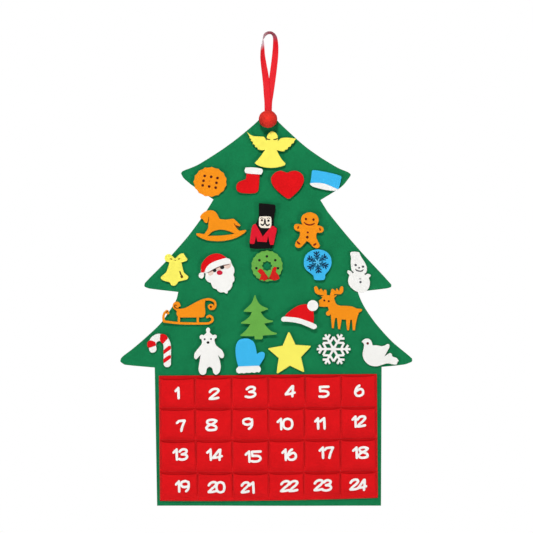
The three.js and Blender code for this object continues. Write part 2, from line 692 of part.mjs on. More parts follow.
    runShares: [
      [[0.08, 0.91], [0.15, 0.955], [0.23, 0.94], [0.285, 0.86], [0.31, 0.735]],
      [[0.42, 0.735], [0.52, 0.71], [0.6, 0.72], [0.68, 0.775]],
      [[0.73, 0.76], [0.725, 0.65], [0.68, 0.54], [0.6, 0.365]],
      [[0.68, 0.43], [0.74, 0.485], [0.79, 0.45], [0.81, 0.375]],
      [[0.9, 0.335], [0.955, 0.25], [0.93, 0.19]],
      [[0.92, 0.13], [0.86, 0.11]],
      [[0.76, 0.14], [0.66, 0.15], [0.55, 0.105], [0.4, 0.055], [0.24, 0.095], [0.12, 0.23], [0.065, 0.42],
        [0.085, 0.6], [0.1, 0.73], [0.08, 0.81]],
      [[0.04, 0.845]],
    ],
  },
];

// An ornament's box is a share of the tree's
function boxed(ornament) {
  const [acrossShare, upShare] = ornament.sizeShares;
  return { ...ornament, width: acrossShare * treeWidth, height: upShare * treeHeight };
}

// Places a share of an ornament's box on its plate
function inBox(ornament, [across, up]) {
  return new THREE.Vector2((across - 0.5) * ornament.width, (up - 0.5) * ornament.height);
}

// The outline of a felt, from runs of shares of its ornament's box
function feltShape(ornament, runShares) {
  return outlineShape(runShares, ornament.width, ornament.height);
}

const ornaments = cutOrnaments.map(boxed).map((ornament) => ({
  ...ornament,
  shapes: [feltShape(ornament, ornament.runShares)],
}));

// Rocking horse: its belly and its rocker leave an opening
const horse = boxed({
  name: 'rocking_horse_ornament', color: orange, sizeShares: [0.1729, 0.08], raised: false,
  middleShares: [0.3449, 0.7074], padShares: [0.5, 0.545],
});
const horseShares = [
  [[0.13, 0.88], [0.2, 0.955], [0.28, 0.985], [0.37, 0.955], [0.43, 0.84], [0.47, 0.715]],
  [[0.6, 0.69], [0.74, 0.715]],
  [[0.79, 0.66], [0.84, 0.58], [0.885, 0.51]],
  [[0.86, 0.475], [0.82, 0.5]],
  [[0.77, 0.51]],
  [[0.81, 0.42], [0.86, 0.34]],
  [[0.92, 0.35], [0.985, 0.36]],
  [[1, 0.33], [0.93, 0.23], [0.79, 0.11], [0.62, 0.035], [0.43, 0.01], [0.24, 0.035],
    [0.09, 0.12], [0.015, 0.2]],
  [[0.015, 0.26], [0.08, 0.255]],
  [[0.16, 0.235]],
  [[0.21, 0.33], [0.245, 0.45], [0.25, 0.74]],
  [[0.235, 0.61], [0.2, 0.585]],
  [[0.16, 0.635], [0.14, 0.7], [0.1, 0.72], [0.085, 0.78]],
];
const horseGapShares = [
  [[0.31, 0.29], [0.4, 0.355], [0.52, 0.375], [0.65, 0.33], [0.77, 0.245]],
  [[0.6, 0.2], [0.42, 0.185], [0.235, 0.175]],
];
const horseShape = feltShape(horse, horseShares);
horseShape.holes.push(feltShape(horse, horseGapShares));
ornaments.push({ ...horse, shapes: [horseShape] });

// Round felt with scallops round its rim
function scallopedShape(width, height, scallops, scallopShare) {
  const points = [];
  const steps = scallops * splineSteps;
  for (let step = 0; step < steps; step += 1) {
    const turn = 2 * Math.PI * step / steps;
    const reach = 0.5 * (1 - scallopShare * Math.abs(Math.cos(turn * scallops / 2)));
    points.push(new THREE.Vector2(Math.cos(turn) * width * reach, Math.sin(turn) * height * reach));
  }
  return new THREE.Shape(points);
}

// Cookie: a round with soft scallops
const cookie = boxed({
  name: 'cookie_ornament', color: orange, sizeShares: [0.1143, 0.0758], raised: false,
  middleShares: [0.3075, 0.8177], padShares: [0.5, 0.5],
});
const cookieScallops = 15;
const cookieScallopShare = 0.045;
ornaments.push({
  ...cookie,
  shapes: [scallopedShape(cookie.width, cookie.height, cookieScallops, cookieScallopShare)],
});

// Wreath: a scalloped ring with a toothed hole
const wreath = boxed({
  name: 'wreath_ornament', color: leaf, sizeShares: [0.1086, 0.0789], raised: false,
  middleShares: [0.5022, 0.6056], padShares: [0.5, 0.84],
});
const wreathScallops = 18;
const wreathScallopShare = 0.04;
const wreathHoleShare = 0.342;
const wreathHoleTeeth = 8;
const wreathToothShare = 0.2;
const wreathShape = scallopedShape(wreath.width, wreath.height, wreathScallops, wreathScallopShare);
const wreathHole = [];
for (let step = 0; step < wreathHoleTeeth * 2; step += 1) {
  const turn = Math.PI * step / wreathHoleTeeth;
  const reach = wreath.width * wreathHoleShare / 2 * (step % 2 === 0 ? 1 : 1 - wreathToothShare);
  wreathHole.push(new THREE.Vector2(Math.cos(turn) * reach, Math.sin(turn) * reach));
}
wreathShape.holes.push(new THREE.Path(wreathHole));
ornaments.push({ ...wreath, shapes: [wreathShape] });

// Sleigh: a curved seat on a runner, with four scrolls
const sleigh = boxed({
  name: 'sleigh_ornament', color: orange, sizeShares: [0.1957, 0.0758], raised: false,
  middleShares: [0.2365, 0.4917], padShares: [0.56, 0.5],
});
const sleighBarShare = 0.0365;
const sleighSeatShares = [
  [[0.42, 0.6], [0.54, 0.71], [0.66, 0.84], [0.79, 0.925]],
  [[0.83, 0.9], [0.78, 0.86], [0.765, 0.7], [0.775, 0.5], [0.77, 0.38]],
  [[0.75, 0.31], [0.7, 0.29]],
  [[0.33, 0.29]],
  [[0.29, 0.33], [0.275, 0.43], [0.28, 0.5]],
  [[0.26, 0.54], [0.31, 0.57]],
];
const sleighBar = sleigh.width * sleighBarShare;
const sleighStrokeShares = [
  [[0.79, 0.89], [0.87, 0.885], [0.935, 0.82], [0.955, 0.7], [0.925, 0.59], [0.865, 0.58], [0.84, 0.67]],
  [[0.3, 0.55], [0.24, 0.6], [0.225, 0.69], [0.255, 0.77], [0.305, 0.76], [0.325, 0.68]],
  [[0.05, 0.16], [0.3, 0.1], [0.6, 0.085], [0.83, 0.09]],
  [[0.83, 0.09], [0.895, 0.16], [0.9, 0.27], [0.855, 0.34], [0.81, 0.3]],
  [[0.05, 0.16], [0.045, 0.32], [0.075, 0.46], [0.13, 0.43]],
  [[0.315, 0.32], [0.315, 0.1]],
  [[0.645, 0.32], [0.645, 0.1]],
];
ornaments.push({
  ...sleigh,
  shapes: [
    feltShape(sleigh, sleighSeatShares),
    ...sleighStrokeShares.map((stroke) => {
      const points = stroke.map((share) => inBox(sleigh, share));
      return strokeShape(points, sleighBar, roundCapSteps);
    }),
  ],
});

// Candy cane: one bent bar
const cane = boxed({
  name: 'candy_cane_ornament', color: white, sizeShares: [0.1029, 0.0989], raised: false,
  middleShares: [0.1354, 0.3919], padShares: [0.742, 0.42],
});
const caneBarShare = 0.243;
const caneBar = cane.width * caneBarShare;
const caneCapSteps = 8;
const caneShares = [
  [0.26, 0.54], [0.25, 0.66], [0.3, 0.77], [0.43, 0.835], [0.57, 0.825], [0.68, 0.76], [0.74, 0.63],
  [0.745, 0.45], [0.742, 0.17],
];
const canePoints = caneShares.map((share) => inBox(cane, share));
ornaments.push({ ...cane, shapes: [strokeShape(canePoints, caneBar, caneCapSteps)] });

// Snowflake: six spokes, each with two pairs of barbs
const snowflake = boxed({
  name: 'snowflake_ornament', color: white, sizeShares: [0.1171, 0.0821], raised: false,
  middleShares: [0.7302, 0.3957], padShares: [0.5, 0.5],
});
const flakeBarShare = 0.0537;
const flakeBar = snowflake.width * flakeBarShare;
const flakeSpokes = 6;
const flakeBarbShares = [[0.44, 0.72, 0.52], [0.72, 0.9, 0.27]];
const flakeShapes = [];
for (let spoke = 0; spoke < flakeSpokes; spoke += 1) {
  const turn = 2 * Math.PI * spoke / flakeSpokes;
  const reachX = (snowflake.width - flakeBar) / 2;
  const reachZ = (snowflake.height - flakeBar) / 2;
  const at = (reach, angle) => {
    const point = new THREE.Vector2(Math.cos(angle) * reachX, Math.sin(angle) * reachZ);
    return point.multiplyScalar(reach);
  };
  flakeShapes.push(strokeShape([new THREE.Vector2(), at(1, turn)], flakeBar, flatCapSteps));
  for (const [rootShare, tipShare, spreadShare] of flakeBarbShares) {
    for (const side of [-1, 1]) {
      const barb = [at(rootShare, turn), at(tipShare, turn + side * spreadShare)];
      flakeShapes.push(strokeShape(barb, flakeBar, flatCapSteps));
    }
  }
}
ornaments.push({ ...snowflake, shapes: flakeShapes });

// Stocking, mitten and hat: a coloured felt with white layers sewn on its front
const stocking = boxed({
  name: 'stocking_ornament', color: red, sizeShares: [0.0914, 0.0663], raised: false,
  middleShares: [0.4424, 0.8218], padShares: [0.6, 0.42],
});
const stockingShares = [
  [[0.375, 0.62], [0.36, 0.54]],
  [[0.25, 0.49], [0.11, 0.44], [0.02, 0.33], [0.005, 0.19], [0.07, 0.07], [0.2, 0.02]],
  [[0.45, 0], [0.7, 0.015]],
  [[0.8, 0.07], [0.84, 0.2], [0.86, 0.5], [0.875, 0.74]],
  [[0.88, 0.86]],
  [[0.4, 0.9]],
  [[0.39, 0.75]],
];
const stockingCuffShares = [
  [[0.33, 0.8], [0.315, 0.88], [0.35, 0.98]],
  [[0.6, 0.99], [0.88, 0.955]],
  [[0.985, 0.91], [0.985, 0.8], [0.93, 0.715]],
  [[0.65, 0.735], [0.38, 0.765]],
];
ornaments.push({
  ...stocking,
  shapes: [feltShape(stocking, stockingShares)],
  layers: [{ name: 'stocking_cuff', shape: feltShape(stocking, stockingCuffShares) }],
});

const mitten = boxed({
  name: 'mitten_ornament', color: blue, sizeShares: [0.1171, 0.0989], raised: false,
  middleShares: [0.4439, 0.3792], padShares: [0.38, 0.56],
});
const mittenShares = [
  [[0.12, 0.33], [0.08, 0.55], [0.085, 0.74], [0.16, 0.88], [0.3, 0.935], [0.46, 0.93], [0.6, 0.855],
    [0.665, 0.72], [0.7, 0.545]],
  [[0.77, 0.58], [0.86, 0.6], [0.925, 0.56], [0.92, 0.46], [0.86, 0.36], [0.77, 0.23]],
  [[0.74, 0.12]],
  [[0.16, 0.12]],
  [[0.15, 0.24]],
];
const mittenCuffShares = [
  [[0.1, 0.16], [0.11, 0.08], [0.17, 0.045]],
  [[0.22, 0.055], [0.26, 0.06]],
  [[0.3, 0.05], [0.36, 0.055], [0.39, 0.068]],
  [[0.45, 0.06], [0.52, 0.068], [0.55, 0.08]],
  [[0.61, 0.065], [0.67, 0.072], [0.7, 0.085]],
  [[0.76, 0.075], [0.81, 0.12], [0.81, 0.19], [0.76, 0.245]],
  [[0.45, 0.235], [0.17, 0.225]],
];
ornaments.push({
  ...mitten,
  shapes: [feltShape(mitten, mittenShares)],
  layers: [{ name: 'mitten_cuff', shape: feltShape(mitten, mittenCuffShares) }],
});

const hat = boxed({
  name: 'santa_hat_ornament', color: red, sizeShares: [0.1271, 0.0758], raised: true,
  middleShares: [0.6136, 0.4866], padShares: [0.6, 0.5],
});
const hatShares = [
  [[0.16, 0.49], [0.27, 0.6], [0.42, 0.72], [0.56, 0.78], [0.7, 0.79], [0.82, 0.72]],
  [[0.87, 0.56], [0.885, 0.36], [0.875, 0.16]],
  [[0.78, 0.13]],
  [[0.6, 0.22], [0.4, 0.28], [0.12, 0.33]],
  [[0.1, 0.4]],
];
const hatBrimShares = [
  [[0.005, 0.27], [0.04, 0.225], [0.12, 0.22]],
  [[0.28, 0.205], [0.48, 0.16], [0.65, 0.085], [0.8, 0.005]],
  [[0.87, -0.03], [0.94, 0], [0.965, 0.07], [0.93, 0.13]],
  [[0.78, 0.205], [0.62, 0.28], [0.42, 0.35], [0.22, 0.375]],
  [[0.08, 0.385], [0.02, 0.35]],
];
const pomShares = [0.855, 0.75];
const pomRadiusShare = 0.146;
const pomRadius = hat.width * pomRadiusShare;
const pomPoints = [];
const pomSides = 24;
for (let step = 0; step < pomSides; step += 1) {
  const turn = 2 * Math.PI * step / pomSides;
  const rim = new THREE.Vector2(Math.cos(turn), Math.sin(turn));
  pomPoints.push(rim.multiplyScalar(pomRadius).add(inBox(hat, pomShares)));
}
ornaments.push({
  ...hat,
  shapes: [feltShape(hat, hatShares)],
  layers: [
    { name: 'santa_hat_brim', shape: feltShape(hat, hatBrimShares) },
    { name: 'santa_hat_pom', shape: new THREE.Shape(pomPoints) },
  ],
});

// Every ornament: its felt joined to the hook pad behind it, and the layers before it
for (const ornament of ornaments) {
  const rearY = ornament.raised ? feltRearY - raisedStep : feltRearY;
  const padLength = padRearY - rearY + overrun;
  const pad = new THREE.CylinderGeometry(padRadius, padRadius, padLength, padSides);
  const padMiddle = inBox(ornament, ornament.padShares);
  pad.translate(padMiddle.x, padRearY - padLength / 2, padMiddle.y);
  const felts = ornament.shapes.map((shape) => plate(shape, rearY, ornamentThickness));
  const place = treePoint(ornament.middleShares, 0);
  addPiece(ornament.name, joined([...felts, pad]), ornament.color, feltRoughness, place, group);
  for (const layer of ornament.layers ?? []) {
    const layerRearY = rearY - ornamentThickness - seatGap;
    const felt = plate(layer.shape, layerRearY, layerThickness);
    addPiece(layer.name, felt, white, feltRoughness, place, group);
  }
}

// The ribbon: up the left side, over the hook and down the right side. Each station is
// across and down as shares of the loop, with the ribbon's turn away from face-on.
const ribbonShares = [
  [-0.085, -1, 0], [-0.09, -0.9, 0], [-0.11, -0.809, 0], [-0.165, -0.663, 6], [-0.262, -0.53, 20],
  [-0.36, -0.424, 38],
  [-0.445, -0.292, 48], [-0.49, -0.159, 56], [-0.37, -0.055, 70], [-0.21, -0.012, 82], [0.02, 0, 90],
  [0.24, -0.012, 78], [0.41, -0.055, 56], [0.46, -0.159, 42], [0.425, -0.292, 31], [0.342, -0.424, 21],
  [0.24, -0.53, 14], [0.15, -0.663, 6], [0.04, -0.809, 0], [-0.035, -0.9, 0], [-0.05, -1, 0],
];
const ribbonRings = 40;
const leanShare = 0.66;
const frontStrandY = tailFrontY + ribbonThickness / 2;
const rearStrandY = tailRearY - ribbonThickness / 2;
const topStation = (ribbonShares.length - 1) / 2;
const ribbonPath = new THREE.CatmullRomCurve3(ribbonShares.map(([across, down], station) => {
  const strandY = station <= topStation ? frontStrandY : rearStrandY;
  const lean = THREE.MathUtils.smoothstep(-down, 0, leanShare);
  return new THREE.Vector3(across * loopWidth, strandY * lean, -down * hingeZ + ribbonThickness / 2);
}));
const ribbonTurns = new THREE.SplineCurve(
  ribbonShares.map(([, , turn], station) => new THREE.Vector2(station, THREE.MathUtils.degToRad(turn))),
);

function ribbonGeometry() {
  const positions = [];
  const indices = [];
  for (let ring = 0; ring <= ribbonRings; ring += 1) {
    const share = ring / ribbonRings;
    const middle = ribbonPath.getPoint(share);
    const along = ribbonPath.getTangent(share);
    const turn = ribbonTurns.getPoint(share).y;
    const across = new THREE.Vector3(Math.cos(turn), -Math.sin(turn), 0);
    across.addScaledVector(along, -across.dot(along)).normalize();
    const face = along.clone().cross(across);
    for (const [wide, deep] of [[-1, -1], [1, -1], [1, 1], [-1, 1]]) {
      const corner = middle.clone();
      corner.addScaledVector(across, wide * ribbonWidth / 2);
      corner.addScaledVector(face, deep * ribbonThickness / 2);
      positions.push(corner.x, corner.y, corner.z);
    }
  }
  const corners = 4;
  for (let ring = 0; ring < ribbonRings; ring += 1) {
    for (let side = 0; side < corners; side += 1) {
      const a = ring * corners + side;
      const b = ring * corners + (side + 1) % corners;
      indices.push(a, b, b + corners, a, b + corners, a + corners);
    }
  }
  const last = ribbonRings * corners;
  indices.push(0, 2, 1, 0, 3, 2, last, last + 1, last + 2, last, last + 2, last + 3);
  const geometry = new THREE.BufferGeometry();
  geometry.setAttribute('position', new THREE.Float32BufferAttribute(positions, 3));
  geometry.setIndex(indices);
  geometry.computeVertexNormals();
  return geometry;
}
addPiece('ribbon_loop', ribbonGeometry(), satinRed, satinRoughness, new THREE.Vector3(), group);

// The ribbon's two ends, sewn together to the top of the tree behind the ball
const tailTopZ = hingeZ - seatGap;
const tails = new THREE.BoxGeometry(ribbonWidth, tailThickness, tailLength);
const tailPlace = new THREE.Vector3(tailMiddleX, tailRearY - tailThickness / 2, tailTopZ - tailLength / 2);
addPiece('ribbon_tails', tails, satinRed, satinRoughness, tailPlace, group);

// The felt ball over the stitching: a sphere with a small flat seat at its back
const ballRadius = ballDiameter / 2;
const ballSides = 20;
const ballRings = 10;
const seatAngle = Math.acos(ballSeatShare);
const ballProfile = [new THREE.Vector2(0, ballRadius * ballSeatShare)];
for (let ring = 0; ring <= ballRings; ring += 1) {
  const angle = seatAngle + (Math.PI - seatAngle) * ring / ballRings;
  const radius = ring === ballRings ? 0 : ballRadius * Math.sin(angle);
  ballProfile.push(new THREE.Vector2(radius, ballRadius * Math.cos(angle)));
}
const ball = new THREE.LatheGeometry(ballProfile.reverse(), ballSides);
const ballMiddleY = tailFrontY - seatGap - ballRadius * ballSeatShare;
const ballPlace = new THREE.Vector3(ballMiddleX, ballMiddleY, -ballDrop);
addPiece('treetop_ball', ball, ballRed, feltRoughness, ballPlace, group);

export default group;
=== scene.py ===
# A felt Christmas-tree advent calendar that hangs on a wall by its ribbon, in the order in
# which it is sewn together: the tree, the pockets, their numbers, the ribbon and the ball,
# and then the felt ornaments that are pressed on to it.

import math
import random

import bmesh
import bpy
import numpy as np
from mathutils import Matrix, Vector, noise


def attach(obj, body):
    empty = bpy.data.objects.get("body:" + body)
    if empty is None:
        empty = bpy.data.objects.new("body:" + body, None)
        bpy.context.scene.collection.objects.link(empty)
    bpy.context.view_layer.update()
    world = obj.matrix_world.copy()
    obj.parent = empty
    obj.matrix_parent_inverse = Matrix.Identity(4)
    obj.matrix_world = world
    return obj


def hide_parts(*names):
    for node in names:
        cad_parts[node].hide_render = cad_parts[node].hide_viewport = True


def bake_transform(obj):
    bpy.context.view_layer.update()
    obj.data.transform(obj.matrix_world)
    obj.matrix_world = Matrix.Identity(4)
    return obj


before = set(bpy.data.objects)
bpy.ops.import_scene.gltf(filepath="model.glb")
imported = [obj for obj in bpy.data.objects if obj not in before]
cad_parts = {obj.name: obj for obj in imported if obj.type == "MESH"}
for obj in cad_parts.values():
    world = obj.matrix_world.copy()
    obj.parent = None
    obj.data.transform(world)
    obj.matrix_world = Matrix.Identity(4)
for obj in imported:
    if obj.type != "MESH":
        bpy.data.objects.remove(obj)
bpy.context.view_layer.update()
scene = bpy.context.scene
scene.view_settings.view_transform = "Standard"

# Studio
# The calendar hangs free and is seen straight on from some metres away, so that its outlines
# are nearly parallel. A small lamp above gives the short shadow under every felt, and one at
# each side draws a line around its other edges. A round matt floor lies well below: it is
# seen nearly white, and fades into the backdrop at its rim.
view_middle = Vector((-0.0067, 0.003, -0.558))
view_width = 1.2792
camera_lens = 100
sensor_width = 36


def placed(name, data):
    """A new object of the scene."""
    made = bpy.data.objects.new(name, data)
    scene.collection.objects.link(made)
    return made


def lamp(name, place, side, watts):
    """A square soft lamp that looks at the middle of the calendar."""
    light = bpy.data.lights.new(name, "AREA")
    light.size = side
    light.energy = watts
    made = placed(name, light)
    made.location = place
    made.rotation_euler = (view_middle - Vector(place)).to_track_quat("-Z", "Y").to_euler()


camera_data = bpy.data.cameras.new("camera")
camera_data.lens = camera_lens
camera_data.sensor_width = sensor_width
camera = placed("camera", camera_data)
camera.location = view_middle + Vector((0, -view_width * camera_lens / sensor_width, 0))
camera.rotation_euler = (math.pi / 2, 0, 0)
scene.camera = camera
lamp("key_lamp", (-0.35, -2.72, 1.5), 0.45, 69)
lamp("left_lamp", (-2.4, -2.3, -1.1), 0.25, 28)
lamp("right_lamp", (2.4, -2.3, -1.1), 0.25, 28)
lamp("back_lamp", (-0.8, 2.6, 0.4), 2.0, 40)


class Socket:
    """A value inside a net of nodes. It can be reckoned with like a number."""

    def __init__(self, net, link):
        self.net = net
        self.link = link

    def maths(self, operation, first, second):
        return self.net.node("ShaderNodeMath", {"operation": operation}, {0: first, 1: second})

    def __add__(self, other):
        return self.maths("ADD", self, other)

    def __sub__(self, other):
        return self.maths("SUBTRACT", self, other)

    def __mul__(self, other):
        return self.maths("MULTIPLY", self, other)


class Net:
    """A net of shader nodes, built up node by node."""

    def __init__(self, tree):
        self.tree = tree

    def feed(self, socket, value):
        if isinstance(value, Socket):
            self.tree.links.new(value.link, socket)
        else:
            socket.default_value = value

    def node(self, kind, settings, values, output=0):
        """Adds a node, sets it, feeds its sockets by name or number, and gives one output."""
        made = self.tree.nodes.new(kind)
        for setting, value in settings.items():
            setattr(made, setting, value)
        for socket, value in values.items():
            self.feed(made.inputs[socket], value)
        return Socket(self, made.outputs[output])

    def smooth_step(self, value, low, high):
        """0 below the low value, 1 above the high one, and a soft rise between them."""
        return self.node("ShaderNodeMapRange", {"interpolation_type": "SMOOTHSTEP"},
                         {"Value": value, "From Min": low, "From Max": high})

    def seen(self):
        """1 where a ray comes from the eye, from a reflection or through glass, else 0."""
        eye, gloss, glass = (self.node("ShaderNodeLightPath", {}, {}, ray) for ray in (
            "Is Camera Ray", "Is Glossy Ray", "Is Transmission Ray"))
        return eye.maths("MAXIMUM", eye.maths("MAXIMUM", eye, gloss), glass)


class Finish(Net):
    """A surface finish on one Principled shader, and the colour slot that it belongs to."""

    def __init__(self, name, slot=None, **settings):
        self.material = bpy.data.materials.new(name)
        self.material.use_nodes = True
        super().__init__(self.material.node_tree)
        self.slot = slot or name
        self.shader = self.tree.nodes["Principled BSDF"]
        self.place = self.node("ShaderNodeTexCoord", {}, {}, "Object")
        for socket, value in settings.items():
            self.shader.inputs[socket.replace("_", " ")].default_value = value

    def dye(self, colour):
        self.feed(self.shader.inputs["Base Color"], colour)

    def relief(self, strength, distance, height):
        values = {"Strength": strength, "Distance": distance, "Height": height}
        self.feed(self.shader.inputs["Normal"], self.node("ShaderNodeBump", {}, values))

    def blend(self, share, low, high):
        """One colour turning into another."""
        return self.node("ShaderNodeMix", {"data_type": "RGBA"}, {0: share, 6: low, 7: high}, 2)

    def grain(self, place, size, detail=2.0, roughness=0.6):
        """Cloudy grain from 0 to 1, whose spots are about that size in metres."""
        values = {"Vector": place, "Scale": 1 / size, "Detail": detail, "Roughness": roughness}
        return self.node("ShaderNodeTexNoise", {}, values)

    def drawn_out(self, along, across, depth):
        """Cloudy grain whose spots are drawn out, by how long they are on each axis."""
        place = self.node("ShaderNodeVectorMath", {"operation": "MULTIPLY"},
                          {0: self.place, 1: (1 / along, 1 / across, 1 / depth)})
        return self.grain(place, 1.0, 3.0)


def circle(sides):
    """Even places round a circle, each by its cosine and sine."""
    turns = [2 * math.pi * side / sides for side in range(sides)]
    return [(math.cos(turn), math.sin(turn)) for turn in turns]


white_light = (1, 1, 1, 1)
ambient_strength = 0.07
world = bpy.data.worlds.new("studio")
scene.world = world
world.use_nodes = True
world.node_tree.nodes.clear()
sky = Net(world.node_tree)
ambient = sky.node("ShaderNodeBackground", {}, {"Color": white_light, "Strength": ambient_strength})
backdrop = sky.node("ShaderNodeBackground", {}, {"Color": white_light, "Strength": 1.0})
surroundings = sky.node("ShaderNodeMixShader", {}, {0: sky.seen(), 1: ambient, 2: backdrop})
sky.feed(sky.tree.nodes.new("ShaderNodeOutputWorld").inputs["Surface"], surroundings)

floor_level = -1.9
floor_reach = 3.7
floor_sides = 96
fade_start, fade_end = 2.2, 4.15
glow_share = 0.75
floor_rim = [(cos * floor_reach, sin * floor_reach, floor_level)
             for cos, sin in circle(floor_sides)]
floor_mesh = bpy.data.meshes.new("floor")
floor_mesh.from_pydata(floor_rim, [], [tuple(range(floor_sides))])
pale = Finish("pale_floor", Roughness=0.9, Specular_IOR_Level=0.1)
pale.dye((0.9, 0.9, 0.9, 1))
far = pale.node("ShaderNodeVectorMath", {"operation": "LENGTH"}, {0: pale.place}, "Value")
fade = pale.smooth_step(far, fade_start, fade_end)
glow = pale.node("ShaderNodeEmission", {}, {"Color": white_light, "Strength": 1.0})
pale_floor = pale.node("ShaderNodeMixShader", {}, {
    0: pale.seen() * (fade * (1 - glow_share) + glow_share),
    1: Socket(pale, pale.shader.outputs[0]), 2: glow})
pale.feed(pale.tree.nodes["Material Output"].inputs["Surface"], pale_floor)
floor_mesh.materials.append(pale.material)
placed("floor", floor_mesh)

# Green felt tree
# The whole calendar is carried by one die-cut tree of 3 mm pressed felt, 70 by 95 cm. Pressed
# felt is a mat of short fibres: it has no weave, a dull face that is a little mottled, and a
# soft rounded edge where the die has cut it.
tree_width = 0.7
tree_height = 0.95
tree_middle = -0.007
tree_top = -0.182
tree_felt = 0.003
wall_face = 0.009
loose_below = -1.105
loose_depth = 0.03
felt_wave = 0.0012
weld = 0.00001


def linear(red, green, blue):
    """A colour as a dyer's chart gives it, 0 to 255, in the shader's own scale."""
    parts = []
    for part in (red, green, blue):
        share = part / 255
        parts.append(share / 12.92 if share <= 0.04045 else ((share + 0.055) / 1.055) ** 2.4)
    return (*parts, 1.0)


def felt_finish(name, colour, mottle=0.10, nap=1.0, slot=None):
    """Pressed wool-and-viscose felt in one dye."""
    finish = Finish(name, slot, Roughness=0.93, Sheen_Weight=0.04, Sheen_Roughness=0.6,
                    Specular_IOR_Level=0.06)
    parts = linear(*colour)[:3]
    fibres = finish.grain(finish.place, 0.0011, 5.0, 0.75)
    strands = finish.drawn_out(0.0045, 0.0008, 0.0008)
    cross_strands = finish.drawn_out(0.0007, 0.0012, 0.0040)
    tufts = finish.grain(finish.place, 0.006, 3.0)
    cloud = finish.grain(finish.place, 0.045, 2.0)
    tone = (fibres - 0.5) * 0.9 + (strands - 0.5) * 0.7 + (cross_strands - 0.5) * 0.7
    tone = tone + (tufts - 0.5) * 1.6 + (cloud - 0.5) * 2.8
    dark = [part * (1 - 2 * mottle) for part in parts]
    light = [min(1.0, part * (1 + 1.6 * mottle) + 0.012 * mottle) for part in parts]
    finish.dye(finish.blend(tone * (mottle * 4) + 0.5, (*dark, 1.0), (*light, 1.0)))
    height = fibres * 0.5 + strands * 0.3 + cross_strands * 0.3 + tufts * 0.6
    finish.relief(0.6 * nap, 0.0014, height)
    return finish


def cut_outlines(node, gap=0.0004):
    """The outlines of the front of a flat cut piece, each as a ring of (x, z) points that lie
    at least a gap apart."""
    mesh = bmesh.new()
    mesh.from_mesh(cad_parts[node].data)
    bmesh.ops.remove_doubles(mesh, verts=mesh.verts, dist=weld)
    mesh.normal_update()
    ahead = Vector()
    for face in mesh.faces:
        if face.normal.y < -0.9:
            ahead += face.normal * face.calc_area()
    ahead.normalize()
    reach = max(vertex.co.dot(ahead) for vertex in mesh.verts) - 0.0001
    front = [face for face in mesh.faces
             if all(vertex.co.dot(ahead) > reach for vertex in face.verts)]
    in_front = set(front)
    follows = {}
    for face in front:
        for loop in face.loops:
            beside = (other for other in loop.edge.link_faces if other != face)
            if not any(other in in_front for other in beside):
                follows[loop.vert] = loop.link_loop_next.vert
    rings = []
    while follows:
        vertex = next(iter(follows))
        ring = []
        while vertex in follows:
            place = Vector((vertex.co.x, vertex.co.z))
            if not ring or (place - ring[-1]).length > gap:
                ring.append(place)
            vertex = follows.pop(vertex)
        if (ring[0] - ring[-1]).length < gap:
            ring.pop()
        rings.append([tuple(place) for place in ring])
    mesh.free()
    return rings


def fitted(name, mesh, finish, body, nodes=()):
    """A finished piece that moves with its body and stands for its solids."""
    mesh.materials.clear()
    mesh.materials.append(finish.material)
    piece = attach(placed(name, mesh), body)
    if nodes:
        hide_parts(*nodes)
    return piece


def handle_length(chord, smooth):
    """How far a smooth line keeps its way at a point, so that it bulges 0.4 mm at most."""
    return min(chord.length / 3, 0.0009 / max(math.sin(chord.angle(smooth, 0)), 0.001))


def cut_mesh(name, groups, rear, thickness, corner=38, edge=0.0005, spread=0.0001):
    """Die-cut plates with softly rounded edges. Each group of rings is one plate, its corners
    are where a ring turns by more degrees than corner, and between them it is smooth."""
    whole = bmesh.new()
    for order, rings in enumerate(groups):
        curve = bpy.data.curves.new(name, "CURVE")
        curve.dimensions = "2D"
        curve.fill_mode = "BOTH"
        curve.extrude = thickness / 2 - edge
        curve.bevel_depth = edge
        curve.offset = spread - edge
        curve.bevel_resolution = 1
        curve.resolution_u = 3
        for ring in rings:
            points = [Vector((x, z, 0)) for x, z in ring]
            spline = curve.splines.new("BEZIER")
            spline.bezier_points.add(len(points) - 1)
            spline.use_cyclic_u = True
            for index, point in enumerate(points):
                knot = spline.bezier_points[index]
                knot.co = point
                knot.handle_left_type = knot.handle_right_type = "FREE"
                before = point - points[index - 1]
                after = points[(index + 1) % len(points)] - point
                smooth = (before + after).normalized()
                if before.angle(after, 0) > math.radians(corner):
                    knot.handle_left = point - before / 3
                    knot.handle_right = point + after / 3
                else:
                    knot.handle_left = point - smooth * handle_length(before, smooth)
                    knot.handle_right = point + smooth * handle_length(after, smooth)
        flat = placed(name, curve)
        view = bpy.context.evaluated_depsgraph_get()
        mesh = bpy.data.meshes.new_from_object(flat.evaluated_get(view))
        mesh.transform(Matrix.Rotation(math.pi / 2, 4, "X"))
        mesh.transform(Matrix.Translation((0, rear - thickness / 2 - order * 0.00002, 0)))
        whole.from_mesh(mesh)
        bpy.data.objects.remove(flat)
        bpy.data.curves.remove(curve)
        bpy.data.meshes.remove(mesh)
    bmesh.ops.remove_doubles(whole, verts=whole.verts, dist=0.000002)
    return whole


def finished(name, skin):
    """The mesh of a skin that has been worked on."""
    mesh = bpy.data.meshes.new(name)
    skin.to_mesh(mesh)
    skin.free()
    return mesh


